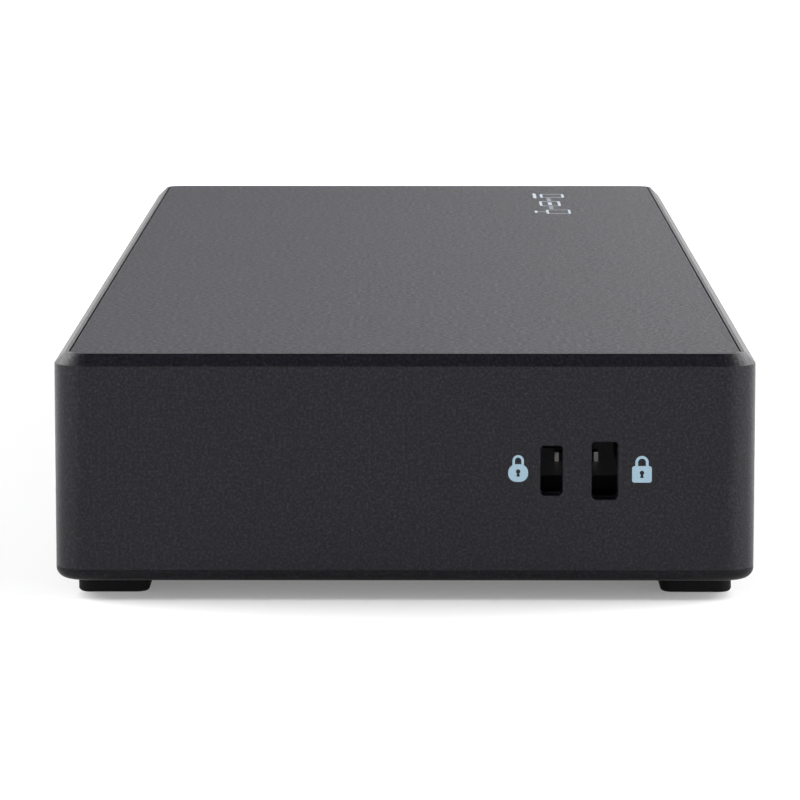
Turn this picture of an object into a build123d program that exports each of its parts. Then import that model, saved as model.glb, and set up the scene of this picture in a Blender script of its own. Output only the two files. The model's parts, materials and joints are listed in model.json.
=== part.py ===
"""Laptop docking station: a flat desktop box with its ports on both long sides.

The row frame has +Z up, with the origin on the desk under the middle of the box. X runs along
the length, and the user's side, with the power button, faces -Y. Two lock slots are in the +X
end wall. All sizes are in millimetres.
"""

import os

from build123d import *

os.makedirs("parts", exist_ok=True)

# ---------------------------------------------------------------- driving dimensions
length = 225.0
width = 85.0
height = 30.0
foot_height = 2.25
wall = 2.0
corner_radius = 4.0
rim_chamfer = 1.4
rim_flat = 0.4
plate_gap = 0.15
plate_thickness = 1.0
adhesive_thickness = 0.2
roof_thickness = 1.8
cover_thickness = 2.0
cover_roll_radius = 1.35
parting_z = foot_height + 1.4
parting_gap = 0.02
parting_bevel = 0.03

# ---------------------------------------------------------------- derived levels and faces
plate_bottom_z = height - plate_thickness
roof_top_z = plate_bottom_z - adhesive_thickness
roof_bottom_z = roof_top_z - roof_thickness
cover_top_z = foot_height + cover_thickness
inner_length = length - 2 * wall
inner_width = width - 2 * wall
inner_radius = corner_radius - wall
recess_inset = rim_chamfer + rim_flat
end_face_x = length / 2
end_inner_x = end_face_x - wall
side_face_y = width / 2
side_inner_y = side_face_y - wall

# Cuts run past a face by this much, and edges are picked within this reach of a level
overcut = 1.0
reach_tolerance = 0.01

# Circuit board
board_length = 195.0
board_width = 77.0
board_thickness = 1.6
board_top_z = 13.0
board_bottom_z = board_top_z - board_thickness
button_notch_width = 13.0
button_notch_depth = 1.15
board_screw_points = [(-93.5, -22), (0, -22), (93.5, -22), (-93.5, 16), (0, 22), (93.5, 6)]
board_hole_radius = 1.4
board_radius = 1.5
board_screw_reach = 5.5

# Port panels: a face plate in a window of the long wall, and a flange behind the wall
window_length = 196.0
window_height = 19.6
window_mid_z = 16.4
window_radius = 3.0
window_bevel = 0.3
panel_gap = 0.15
panel_recess = 0.4
panel_flange = 0.6
flange_thickness = 1.2
panel_face_y = side_face_y - panel_recess
panel_back_y = side_inner_y - flange_thickness
mouth_recess = 0.4
mouth_y = panel_face_y - mouth_recess
panel_depth = mouth_y - panel_back_y
port_z = 16.0
port_gap = 0.2

# Sides of the box for the port frames
front = -1
rear = 1

# Port places along X
button_x = -86.0
light_x = -77.0
audio_x = -62.0
card_x = -28.0
front_usb_a_x = 36.0
host_usb_c_x = 66.0
dc_x = 84.0
rear_usb_c_x = [61.0, 45.0, 29.0]
rear_usb_a_x = [-16.0, -34.0, -52.0]
ethernet_x = -80.0

# Corner fasteners, which the feet hide
corner_x = 103.5
corner_y = 35.8
corner_points = [(sx * corner_x, sy * corner_y) for sx in (-1, 1) for sy in (-1, 1)]
boss_radius = 3.25
boss_end_z = 7.0
cover_pad_radius = 4.25
screw_radius = 1.2
screw_head_radius = 2.4
screw_head_height = 1.6
cover_screw_seat_z = 4.9
cover_screw_reach = 6.8
insert_length = 5.0
insert_outer_radius = 1.85
insert_inner_radius = 1.25
fit_gap = 0.03

# Feet
foot_length = 26.0
foot_width = 8.7
foot_radius = 1.6
foot_edge = 0.45
foot_pocket = 0.6
foot_end_setback = 5.4
foot_side_setback = 2.5
foot_pocket_gap = 0.1
foot_x = end_face_x - foot_end_setback - foot_length / 2
foot_y = side_face_y - foot_side_setback - foot_width / 2

# Lock slots in the +X end wall: (Y, width, height, corner radius)
lock_z = 15.92
nano_slot = (17.72, 2.7, 6.0, 0.45)
standard_slot = (24.15, 3.2, 7.0, 0.5)
slot_bevel = 0.1

# Mounting bracket holes in the underside
bracket_spacing = 100.0
bracket_insert_radius = 2.8
bracket_thread_radius = 1.65
bracket_insert_length = 4.8


def save(piece, name):
    """Labels a finished piece and writes it as one STEP file."""
    piece.part.label = name
    export_step(piece.part, f"parts/{name}.step")


def port_frame(side, x, z, depth=0.0):
    """A plane at a port's mouth: its X runs across the port, its Y is up, its Z points out."""
    origin = (x, side * (mouth_y - depth), z)
    return Plane(origin=origin, x_dir=(-side, 0, 0), z_dir=(0, side, 0))


def near_level(edges, axis, level):
    """The edges that lie at one level along an axis."""
    return edges.filter_by_position(axis, level - reach_tolerance, level + reach_tolerance)


def inside_window(edges, margin_x, margin_z):
    """The edges within the port window's outline, grown by a margin each way."""
    half_length = window_length / 2 + margin_x
    half_height = window_height / 2 + margin_z
    return edges.filter_by_position(Axis.X, -half_length, half_length).filter_by_position(
        Axis.Z, window_mid_z - half_height, window_mid_z + half_height
    )


# ================================================================ enclosure


def slot_sketch(slot):
    """One lock slot's outline, on the sketch plane of the end wall."""
    y, slot_width, slot_height, radius = slot
    with Locations((y, lock_z)):
        RectangleRounded(slot_width, slot_height, radius)


def make_housing():
    """The moulded shell: four walls, a roof with a seat for the top plate, and screw bosses."""
    wall_bottom_z = parting_z + parting_gap
    insert_relief = 2.0
    slot_span = (
        nano_slot[0] - nano_slot[1],
        standard_slot[0] + standard_slot[1],
    )
    with BuildPart() as housing:
        with BuildSketch(Plane.XY.offset(wall_bottom_z)):
            RectangleRounded(length, width, corner_radius)
        extrude(amount=height - wall_bottom_z)
        chamfer(housing.faces().sort_by(Axis.Z)[-1].edges(), rim_chamfer)
        with BuildSketch(Plane.XY.offset(wall_bottom_z)):
            RectangleRounded(inner_length, inner_width, inner_radius)
        extrude(amount=roof_bottom_z - wall_bottom_z, mode=Mode.SUBTRACT)
        with BuildSketch(Plane.XY.offset(roof_top_z)):
            RectangleRounded(
                length - 2 * recess_inset, width - 2 * recess_inset, corner_radius - recess_inset
            )
        extrude(amount=height - roof_top_z, mode=Mode.SUBTRACT)
        # Corner bosses, each with a seat for its brass insert
        with BuildSketch(Plane.XY.offset(boss_end_z)):
            with Locations(*corner_points):
                Circle(boss_radius)
        extrude(amount=roof_bottom_z - boss_end_z)
        with BuildSketch(Plane.XY.offset(boss_end_z)):
            with Locations(*corner_points):
                Circle(insert_outer_radius + fit_gap)
        extrude(amount=insert_length + insert_relief, mode=Mode.SUBTRACT)
        # A window for each port panel, through the long walls
        with BuildSketch(Plane.XZ):
            with Locations((0, window_mid_z)):
                RectangleRounded(window_length, window_height, window_radius)
        extrude(amount=width, both=True, mode=Mode.SUBTRACT)
        # The lock slots, through the +X end wall
        with BuildSketch(Plane.YZ.offset(end_face_x + overcut)):
            slot_sketch(nano_slot)
            slot_sketch(standard_slot)
        extrude(amount=-(wall + 2 * overcut), mode=Mode.SUBTRACT)
        slot_rim = near_level(housing.edges(), Axis.X, end_face_x).filter_by_position(
            Axis.Y, *slot_span
        )
        chamfer(slot_rim, slot_bevel)
        for side in (front, rear):
            window_rim = near_level(housing.edges(), Axis.Y, side * side_face_y)
            chamfer(inside_window(window_rim, overcut, overcut), window_bevel)
        # A fine bevel along the lower edge of the walls, where the cover meets them
        lower_rim = housing.faces().sort_by(Axis.Z)[0].outer_wire().edges()
        chamfer(lower_rim, parting_bevel)
    save(housing, "housing")


def make_top_plate():
    """The inset top skin, flush with the rim, with a broken upper edge."""
    plate_inset = recess_inset + plate_gap
    plate_bevel = 0.1
    with BuildPart() as top_plate:
        with BuildSketch(Plane.XY.offset(plate_bottom_z)):
            RectangleRounded(
                length - 2 * plate_inset, width - 2 * plate_inset, corner_radius - plate_inset
            )
        extrude(amount=plate_thickness)
        chamfer(top_plate.faces().sort_by(Axis.Z)[-1].edges(), plate_bevel)
    save(top_plate, "top_plate")

    # The tape is a frame with one cross band, so it has two windows
    tape_inset = plate_inset + 3.0
    tape_band = 12.0
    tape_radius = 3.0
    tape_length = length - 2 * tape_inset
    tape_width = width - 2 * tape_inset
    tape_window_length = (tape_length - 3 * tape_band) / 2
    with BuildPart() as top_plate_adhesive:
        with BuildSketch(Plane.XY.offset(roof_top_z)):
            RectangleRounded(tape_length, tape_width, tape_radius)
            with GridLocations(tape_window_length + tape_band, 0, 2, 1):
                RectangleRounded(
                    tape_window_length, tape_width - 2 * tape_band, tape_radius, mode=Mode.SUBTRACT
                )
        extrude(amount=adhesive_thickness)
    save(top_plate_adhesive, "top_plate_adhesive")


lock_screw_points = [(102.5, 13.5), (102.5, 28.5)]
lock_pad_z = 6.0
vent_group_x = 58.0
vent_pitch = 4.0
vent_count = 11
vent_width = 1.8
vent_length = 18.0
vent_bank_spacing = 40.0
label_length = 62.0
label_width = 32.0
label_radius = 1.5
label_recess = 0.2
label_gap = 0.2
label_sink = 0.05


def make_bottom_cover():
    """The underside: a plate with a rolled edge, a locating lip, bosses, vents and foot pockets."""
    lip_gap = 0.2
    lip_thickness = 1.2
    lip_top_z = 5.6
    lip_radius = inner_radius - lip_gap
    boss_radius_inside = 3.0
    boss_pilot = 1.25
    board_pilot_depth = 6.0
    lock_pilot_depth = 3.0
    bracket_boss_radius = 4.5
    bracket_boss_z = 8.0
    bracket_seat_relief = 0.2
    counterbore_radius = 2.6
    screw_clearance = 0.2
    bracket_points = GridLocations(bracket_spacing, 0, 2, 1)
    with BuildPart() as bottom_cover:
        with BuildSketch(Plane.XY.offset(foot_height)):
            RectangleRounded(length, width, corner_radius)
        extrude(amount=parting_z - foot_height)
        fillet(bottom_cover.faces().sort_by(Axis.Z)[0].edges(), cover_roll_radius)
        with BuildSketch(Plane.XY.offset(parting_z)):
            RectangleRounded(inner_length - 2 * lip_gap, inner_width - 2 * lip_gap, lip_radius)
        extrude(amount=lip_top_z - parting_z)
        with BuildSketch(Plane.XY.offset(cover_top_z)):
            lip_inset = 2 * (lip_gap + lip_thickness)
            RectangleRounded(
                inner_length - lip_inset, inner_width - lip_inset, lip_radius - lip_thickness
            )
        extrude(amount=lip_top_z - cover_top_z, mode=Mode.SUBTRACT)
        # Bosses: board, corners, bracket inserts and lock bracket
        with BuildSketch(Plane.XY.offset(cover_top_z)):
            with Locations(*board_screw_points):
                Circle(boss_radius_inside)
        extrude(amount=board_bottom_z - cover_top_z)
        with BuildSketch(Plane.XY.offset(cover_top_z)):
            with Locations(*corner_points):
                Circle(cover_pad_radius)
        extrude(amount=boss_end_z - cover_top_z)
        with BuildSketch(Plane.XY.offset(cover_top_z)):
            with bracket_points:
                Circle(bracket_boss_radius)
        extrude(amount=bracket_boss_z - cover_top_z)
        with BuildSketch(Plane.XY.offset(cover_top_z)):
            with Locations(*lock_screw_points):
                Circle(boss_radius_inside)
        extrude(amount=lock_pad_z - cover_top_z)
        # Pilot holes, clearance holes and insert seats
        with BuildSketch(Plane.XY.offset(board_bottom_z)):
            with Locations(*board_screw_points):
                Circle(boss_pilot)
        extrude(amount=-board_pilot_depth, mode=Mode.SUBTRACT)
        with BuildSketch(Plane.XY.offset(lock_pad_z)):
            with Locations(*lock_screw_points):
                Circle(boss_pilot)
        extrude(amount=-lock_pilot_depth, mode=Mode.SUBTRACT)
        with BuildSketch(Plane.XY.offset(foot_height)):
            with Locations(*corner_points):
                Circle(screw_radius + screw_clearance)
        extrude(amount=boss_end_z - foot_height, mode=Mode.SUBTRACT)
        with BuildSketch(Plane.XY.offset(foot_height)):
            with Locations(*corner_points):
                Circle(counterbore_radius)
        extrude(amount=cover_screw_seat_z - foot_height, mode=Mode.SUBTRACT)
        with BuildSketch(Plane.XY.offset(foot_height)):
            with bracket_points:
                Circle(bracket_insert_radius + fit_gap)
        extrude(amount=bracket_insert_length + bracket_seat_relief, mode=Mode.SUBTRACT)
        # Pockets for the feet and the label
        with BuildSketch(Plane.XY.offset(foot_height)):
            with GridLocations(2 * foot_x, 2 * foot_y, 2, 2):
                RectangleRounded(
                    foot_length + 2 * foot_pocket_gap,
                    foot_width + 2 * foot_pocket_gap,
                    foot_radius + foot_pocket_gap,
                )
        extrude(amount=foot_pocket, mode=Mode.SUBTRACT)
        with BuildSketch(Plane.XY.offset(foot_height)):
            RectangleRounded(
                label_length + 2 * label_gap, label_width + 2 * label_gap, label_radius + label_gap
            )
        extrude(amount=label_recess, mode=Mode.SUBTRACT)
        # Vent slots in two banks
        with BuildSketch(Plane.XY.offset(foot_height)):
            with Locations((-vent_group_x, 0), (vent_group_x, 0)):
                with GridLocations(vent_pitch, vent_bank_spacing, vent_count, 2):
                    SlotOverall(vent_length, vent_width, rotation=90)
        extrude(amount=cover_thickness, mode=Mode.SUBTRACT)
    save(bottom_cover, "bottom_cover")

    with BuildPart() as rating_label:
        with BuildSketch(Plane.XY.offset(foot_height + label_sink)):
            RectangleRounded(label_length, label_width, label_radius)
        extrude(amount=label_recess - label_sink)
    save(rating_label, "rating_label")


def make_feet():
    """Four rubber feet, bonded in shallow pockets over the corner screws."""
    for end_name, sx in (("left", -1), ("right", 1)):
        for side_name, sy in (("front", -1), ("rear", 1)):
            with BuildPart() as foot:
                with BuildSketch(Plane.XY):
                    with Locations((sx * foot_x, sy * foot_y)):
                        RectangleRounded(foot_length, foot_width, foot_radius)
                extrude(amount=foot_height + foot_pocket)
                fillet(foot.faces().sort_by(Axis.Z)[0].edges(), foot_edge)
            save(foot, f"foot_{side_name}_{end_name}")


def pan_screws(name, points, seat_z, reach, up):
    """Cross-recessed pan-head screws, with the head under (up) or on (not up) its seat."""
    away = 1 if up else -1
    head_face_z = seat_z - away * screw_head_height
    head_rounding = 0.5
    drive_length = 2.6
    drive_width = 0.55
    drive_depth = 0.9
    with BuildPart() as screws:
        with BuildSketch(Plane.XY.offset(seat_z)):
            with Locations(*points):
                Circle(screw_head_radius)
        extrude(amount=-away * screw_head_height)
        fillet(near_level(screws.edges(), Axis.Z, head_face_z), head_rounding)
        with BuildSketch(Plane.XY.offset(seat_z)):
            with Locations(*points):
                Circle(screw_radius)
        extrude(amount=away * reach)
        with BuildSketch(Plane.XY.offset(head_face_z)):
            with Locations(*points):
                Rectangle(drive_length, drive_width)
                Rectangle(drive_width, drive_length)
        extrude(amount=away * drive_depth, mode=Mode.SUBTRACT)
    save(screws, name)


def ring_inserts(name, points, bottom_z, ring_length, outer_radius, bore_radius):
    """Brass threaded inserts, shown as plain rings with a groove between two knurled bands."""
    knurl_length = 0.4 * ring_length
    groove_length = 0.2 * ring_length
    groove_depth = 0.25
    with BuildPart() as inserts:
        with BuildSketch(Plane.XY.offset(bottom_z)):
            with Locations(*points):
                Circle(outer_radius)
                Circle(bore_radius, mode=Mode.SUBTRACT)
        extrude(amount=ring_length)
        with BuildSketch(Plane.XY.offset(bottom_z + knurl_length)):
            with Locations(*points):
                Circle(outer_radius)
                Circle(outer_radius - groove_depth, mode=Mode.SUBTRACT)
        extrude(amount=groove_length, mode=Mode.SUBTRACT)
    save(inserts, name)


def make_enclosure_fasteners():
    """Corner screws into brass inserts, and the bracket inserts in the underside."""
    pan_screws("cover_screws", corner_points, cover_screw_seat_z, cover_screw_reach, up=True)
    ring_inserts(
        "housing_inserts",
        corner_points,
        boss_end_z,
        insert_length,
        insert_outer_radius,
        insert_inner_radius,
    )
    bracket_points = [(-bracket_spacing / 2, 0), (bracket_spacing / 2, 0)]
    ring_inserts(
        "bracket_inserts",
        bracket_points,
        foot_height,
        bracket_insert_length,
        bracket_insert_radius,
        bracket_thread_radius,
    )


# ================================================================ port panels

usb_a_size = (13.1, 5.7, 0.5)
usb_c_size = (8.94, 3.2, 1.58)
card_size = (24.6, 2.5, 0.4)
ethernet_size = (15.6, 12.0)
ethernet_radius = 0.2
ethernet_mid_z = board_top_z + ethernet_size[1] / 2
dc_snout_radius = 4.9
dc_mid_z = 18.8
audio_ring_radius = 2.6
audio_bore_radius = 1.8
button_radius = 3.8
button_gap = 0.15
light_radius = 1.0
light_gap = 0.1
aperture_bevel = 0.18
panel_border = 0.5


def rounded_ports(x_list, size, z=port_z):
    """Apertures for a row of rounded rectangular ports, a gap wider than their shells."""
    port_width, port_height, radius = size
    grown_width = port_width + 2 * port_gap
    grown_height = port_height + 2 * port_gap
    grown_radius = min(radius + port_gap, grown_height / 2 - reach_tolerance)
    with Locations(*[(x, z) for x in x_list]):
        RectangleRounded(grown_width, grown_height, grown_radius)


def round_port(x, z, radius):
    """A round aperture."""
    with Locations((x, z)):
        Circle(radius)


def make_panel(name, side, apertures):
    """A black face plate through the wall's window, with a flange behind the wall."""
    face_plane = Plane(origin=(0, side * panel_face_y, 0), x_dir=(1, 0, 0), z_dir=(0, -1, 0))
    flange_plane = Plane(origin=(0, side * side_inner_y, 0), x_dir=(1, 0, 0), z_dir=(0, -1, 0))
    # On this plane +Z is -Y, so inward is positive at the rear and negative at the front
    inward = side
    with BuildPart() as panel:
        with BuildSketch(face_plane):
            with Locations((0, window_mid_z)):
                RectangleRounded(
                    window_length - 2 * panel_gap,
                    window_height - 2 * panel_gap,
                    window_radius - panel_gap,
                )
        extrude(amount=inward * (panel_face_y - side_inner_y))
        with BuildSketch(flange_plane):
            with Locations((0, window_mid_z)):
                RectangleRounded(
                    window_length + 2 * panel_flange,
                    window_height + 2 * panel_flange,
                    window_radius + panel_flange,
                )
        extrude(amount=inward * flange_thickness)
        with BuildSketch(face_plane):
            apertures()
        extrude(amount=inward * (panel_face_y - panel_back_y), mode=Mode.SUBTRACT)
        aperture_rims = near_level(panel.edges(), Axis.Y, side * panel_face_y)
        chamfer(inside_window(aperture_rims, -window_radius, -panel_border), aperture_bevel)
    save(panel, name)


def front_apertures():
    """Power button, status light, audio, card, USB-A and the host USB-C port."""
    round_port(button_x, port_z, button_radius + button_gap)
    round_port(light_x, port_z, light_radius + light_gap)
    round_port(audio_x, port_z, audio_ring_radius + port_gap)
    rounded_ports([card_x], card_size)
    rounded_ports([front_usb_a_x], usb_a_size)
    rounded_ports([host_usb_c_x], usb_c_size)


def rear_apertures():
    """DC inlet, three USB-C, three USB-A and the network jack."""
    round_port(dc_x, dc_mid_z, dc_snout_radius + port_gap)
    rounded_ports(rear_usb_c_x, usb_c_size)
    rounded_ports(rear_usb_a_x, usb_a_size)
    rounded_ports([ethernet_x], (*ethernet_size, ethernet_radius), ethernet_mid_z)


# ================================================================ connectors


def make_usb_a(name, side, x):
    """A USB-A receptacle: folded steel shell, and a plastic insulator with its tongue."""
    mouth = port_frame(side, x, port_z)
    shell_width, shell_height, shell_radius = usb_a_size
    sheet = 0.3
    depth = 14.0
    leg_start = 6.5
    leg_width = 3.0
    leg_overlap = 0.4
    leg_height = port_z - shell_height / 2 - board_top_z + 2 * leg_overlap
    leg_mid = board_top_z - port_z + leg_height / 2
    spring_window_start = 3.5
    spring_window_length = 5.0
    spring_window_width = 2.2
    spring_spacing = 6.6
    with BuildPart() as shell:
        with BuildSketch(mouth):
            RectangleRounded(shell_width, shell_height, shell_radius)
        extrude(amount=-depth)
        with BuildSketch(mouth):
            RectangleRounded(
                shell_width - 2 * sheet, shell_height - 2 * sheet, shell_radius - sheet
            )
        extrude(amount=-(depth - sheet), mode=Mode.SUBTRACT)
        # Windows that the four grip springs are cut from, in the top and bottom walls
        with BuildSketch(mouth.offset(-spring_window_start)):
            with GridLocations(spring_spacing, shell_height, 2, 2):
                Rectangle(spring_window_width, 3 * sheet)
        extrude(amount=-spring_window_length, mode=Mode.SUBTRACT)
        # Side legs that stand on the board
        with BuildSketch(mouth.offset(-leg_start)):
            with Locations((0, leg_mid)):
                with GridLocations(shell_width - sheet, 0, 2, 1):
                    Rectangle(sheet, leg_height)
        extrude(amount=-leg_width)
    save(shell, f"{name}_shell")

    block_start = 9.6
    block_gap = 0.02
    tongue_start = 1.1
    tongue_width = 11.1
    tongue_thickness = 1.84
    tongue_radius = 0.3
    tongue_up = 0.95
    with BuildPart() as insulator:
        with BuildSketch(mouth.offset(-block_start)):
            RectangleRounded(
                shell_width - 2 * (sheet + block_gap),
                shell_height - 2 * (sheet + block_gap),
                shell_radius - sheet,
            )
        extrude(amount=-(depth - sheet - block_gap - block_start))
        with BuildSketch(mouth.offset(-tongue_start)):
            with Locations((0, tongue_up)):
                RectangleRounded(tongue_width, tongue_thickness, tongue_radius)
        extrude(amount=-(block_start - tongue_start))
    save(insulator, f"{name}_tongue")


def make_usb_c(name, side, x):
    """A raised USB-C receptacle: drawn steel shell on legs, and an insulator with its tongue."""
    mouth = port_frame(side, x, port_z)
    shell_width, shell_height, shell_radius = usb_c_size
    sheet = 0.3
    depth = 9.5
    leg_start = 4.2
    leg_width = 3.2
    leg_drop = port_z - board_top_z
    inner_size = (shell_width - 2 * sheet, shell_height - 2 * sheet, shell_radius - sheet)
    with BuildPart() as shell:
        with BuildSketch(mouth):
            RectangleRounded(shell_width, shell_height, shell_radius)
        extrude(amount=-depth)
        with BuildSketch(mouth.offset(-leg_start)):
            with Locations((0, -leg_drop / 2)):
                with GridLocations(shell_width - sheet, 0, 2, 1):
                    Rectangle(sheet, leg_drop)
        extrude(amount=-leg_width)
        with BuildSketch(mouth):
            RectangleRounded(*inner_size)
        extrude(amount=-depth, mode=Mode.SUBTRACT)
    save(shell, f"{name}_shell")

    block_start = 6.2
    tongue_start = 1.0
    tongue_width = 6.7
    tongue_thickness = 0.7
    tongue_radius = 0.25
    block_gap = 0.02
    back_thickness = 1.2
    pedestal_gap = 0.05
    pedestal_height = port_z - shell_height / 2 - board_top_z - pedestal_gap
    pedestal_mid = -port_z + board_top_z + pedestal_height / 2
    with BuildPart() as insulator:
        with BuildSketch(mouth.offset(-block_start)):
            RectangleRounded(
                inner_size[0] - 2 * block_gap, inner_size[1] - 2 * block_gap, inner_size[2] - block_gap
            )
        extrude(amount=-(depth - block_start))
        with BuildSketch(mouth.offset(-tongue_start)):
            RectangleRounded(tongue_width, tongue_thickness, tongue_radius)
        extrude(amount=-(block_start - tongue_start))
        # Behind the shell the insulator runs down to the board, and forward under the shell
        with BuildSketch(mouth.offset(-depth)):
            with Locations((0, (shell_height / 2 - port_z + board_top_z) / 2)):
                Rectangle(shell_width, shell_height / 2 + port_z - board_top_z)
        extrude(amount=-back_thickness)
        with BuildSketch(mouth.offset(-leg_start)):
            with Locations((0, pedestal_mid)):
                Rectangle(shell_width - 2 * (sheet + pedestal_gap), pedestal_height)
        extrude(amount=-(depth - leg_start))
    save(insulator, f"{name}_tongue")


def make_ethernet():
    """The network jack: shield, plastic insert with a stepped plug cavity, contacts and lights."""
    mouth = port_frame(rear, ethernet_x, ethernet_mid_z)
    jack_width, jack_height = ethernet_size
    sheet = 0.25
    depth = 20.0
    cavity_depth = 13.0
    cavity_width = 11.8
    cavity_height = 7.6
    cavity_mid = -1.3
    spring_window_start = 3.0
    spring_window_size = 5.0
    with BuildPart() as ethernet_jack_shield:
        with BuildSketch(mouth):
            RectangleRounded(jack_width, jack_height, ethernet_radius)
        extrude(amount=-depth)
        with BuildSketch(mouth):
            Rectangle(jack_width - 2 * sheet, jack_height - 2 * sheet)
        extrude(amount=-(depth - sheet), mode=Mode.SUBTRACT)
        # The windows of the grounding springs, one in each side
        with BuildSketch(mouth.offset(-spring_window_start)):
            Rectangle(jack_width + 2 * overcut, spring_window_size)
        extrude(amount=-spring_window_size, mode=Mode.SUBTRACT)
    save(ethernet_jack_shield, "ethernet_jack_shield")

    cavity_top = cavity_mid + cavity_height / 2
    insert_start = 0.3
    insert_gap = 0.02
    latch_width = 6.4
    latch_height = 1.3
    latch_tip_width = 3.4
    latch_tip_height = 1.2
    light_width = 2.6
    light_height = 1.5
    light_gap_around = 0.03
    light_depth = 10.0
    light_pocket_end = 12.0
    light_y = jack_height / 2 - sheet - 1.3
    light_x_offset = jack_width / 2 - sheet - 2.1
    light_points = [(-light_x_offset, light_y), (light_x_offset, light_y)]
    with BuildPart() as ethernet_jack_insert:
        with BuildSketch(mouth.offset(-insert_start)):
            Rectangle(jack_width - 2 * (sheet + insert_gap), jack_height - 2 * (sheet + insert_gap))
        extrude(amount=-(depth - sheet - insert_start - insert_gap))
        # The plug's cavity, stepped twice for its latch
        with BuildSketch(mouth):
            with Locations((0, cavity_mid)):
                Rectangle(cavity_width, cavity_height)
            with Locations((0, cavity_top)):
                Rectangle(latch_width, 2 * latch_height)
            with Locations((0, cavity_top + latch_height)):
                Rectangle(latch_tip_width, 2 * latch_tip_height)
        extrude(amount=-cavity_depth, mode=Mode.SUBTRACT)
        with BuildSketch(mouth):
            with Locations(*light_points):
                Rectangle(light_width, light_height)
        extrude(amount=-light_pocket_end, mode=Mode.SUBTRACT)
    save(ethernet_jack_insert, "ethernet_jack_insert")

    # Eight contacts, which lie on the cavity's floor at the front and rise towards its back
    contact_count = 8
    contact_pitch = 1.02
    contact_width = 0.5
    contact_thickness = 0.3
    contact_start = 2.2
    contact_bend = 3.0
    contact_end = cavity_depth - 0.1
    floor_y = cavity_mid - cavity_height / 2 + 0.05
    rise = 1.45
    with BuildPart() as ethernet_contacts:
        for i in range(contact_count):
            contact_x = (i - (contact_count - 1) / 2) * contact_pitch
            contact_side = Plane(
                origin=mouth.from_local_coords((contact_x - contact_width / 2, 0, 0)),
                x_dir=-mouth.z_dir,
                z_dir=mouth.x_dir,
            )
            with BuildSketch(contact_side):
                with BuildLine():
                    Polyline(
                        (contact_start, floor_y),
                        (contact_bend, floor_y),
                        (contact_end, floor_y + rise),
                        (contact_end, floor_y + rise + contact_thickness),
                        (contact_start, floor_y + contact_thickness),
                        close=True,
                    )
                make_face()
            extrude(amount=contact_width)
    save(ethernet_contacts, "ethernet_contacts")

    with BuildPart() as ethernet_lights:
        with BuildSketch(mouth.offset(-insert_start)):
            with Locations(*light_points):
                Rectangle(light_width - 2 * light_gap_around, light_height - 2 * light_gap_around)
        extrude(amount=-light_depth)
    save(ethernet_lights, "ethernet_lights")


def make_dc_inlet():
    """The power inlet: a plastic body with a round snout and bore, and its centre pin."""
    mouth = port_frame(rear, dc_x, dc_mid_z)
    body_width = 12.0
    body_height = 2 * (dc_mid_z - board_top_z)
    body_start = panel_depth + 0.1
    body_radius = 0.5
    bore_radius = 3.8
    bore_bevel = 0.3
    depth = 15.0
    bore_depth = 11.0
    pin_radius = 0.8
    pin_recess = 1.2
    pin_rounding = 0.4
    pin_base_radius = 2.2
    pin_base_height = 0.5
    with BuildPart() as dc_inlet_body:
        with BuildSketch(mouth):
            Circle(dc_snout_radius)
        extrude(amount=-depth)
        with BuildSketch(mouth.offset(-body_start)):
            RectangleRounded(body_width, body_height, body_radius)
        extrude(amount=-(depth - body_start))
        with BuildSketch(mouth):
            Circle(bore_radius)
        extrude(amount=-bore_depth, mode=Mode.SUBTRACT)
        bore_rim = dc_inlet_body.faces().sort_by(Axis.Y)[-1].inner_wires()[0].edges()
        chamfer(bore_rim, bore_bevel)
    save(dc_inlet_body, "dc_inlet_body")

    with BuildPart() as dc_inlet_pin:
        with BuildSketch(mouth.offset(-bore_depth)):
            Circle(pin_base_radius)
        extrude(amount=pin_base_height)
        with BuildSketch(mouth.offset(-bore_depth)):
            Circle(pin_radius)
        extrude(amount=bore_depth - pin_recess)
        fillet(dc_inlet_pin.faces().sort_by(Axis.Y)[-1].edges(), pin_rounding)
    save(dc_inlet_pin, "dc_inlet_pin")


def make_audio_jack():
    """The 3.5 mm audio jack: a plated bushing in the panel, and a body with the plug bore."""
    mouth = port_frame(front, audio_x, port_z)
    ring_length = panel_depth + 0.1
    ring_bevel = 0.2
    body_width = 6.6
    body_radius = 0.3
    body_depth = 12.5
    bore_depth = 12.4
    body_height = 2 * (port_z - board_top_z)
    with BuildPart() as audio_jack_bushing:
        with BuildSketch(mouth):
            Circle(audio_ring_radius)
            Circle(audio_bore_radius, mode=Mode.SUBTRACT)
        extrude(amount=-ring_length)
        chamfer(audio_jack_bushing.faces().sort_by(Axis.Y)[0].edges(), ring_bevel)
    save(audio_jack_bushing, "audio_jack_bushing")

    with BuildPart() as audio_jack_body:
        with BuildSketch(mouth.offset(-ring_length)):
            RectangleRounded(body_width, body_height, body_radius)
        extrude(amount=-body_depth)
        with BuildSketch(mouth.offset(-ring_length)):
            Circle(audio_bore_radius)
        extrude(amount=-(bore_depth - ring_length), mode=Mode.SUBTRACT)
    save(audio_jack_body, "audio_jack_body")


card_socket_depth = 29.0
card_socket_start = panel_depth + 0.1
card_left = -13.4
card_right = 15.6
slider_x = 13.3
slider_y = -0.1
slider_start = 8.5
slider_length = 11.5
slider_pocket_end = 26.0


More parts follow.
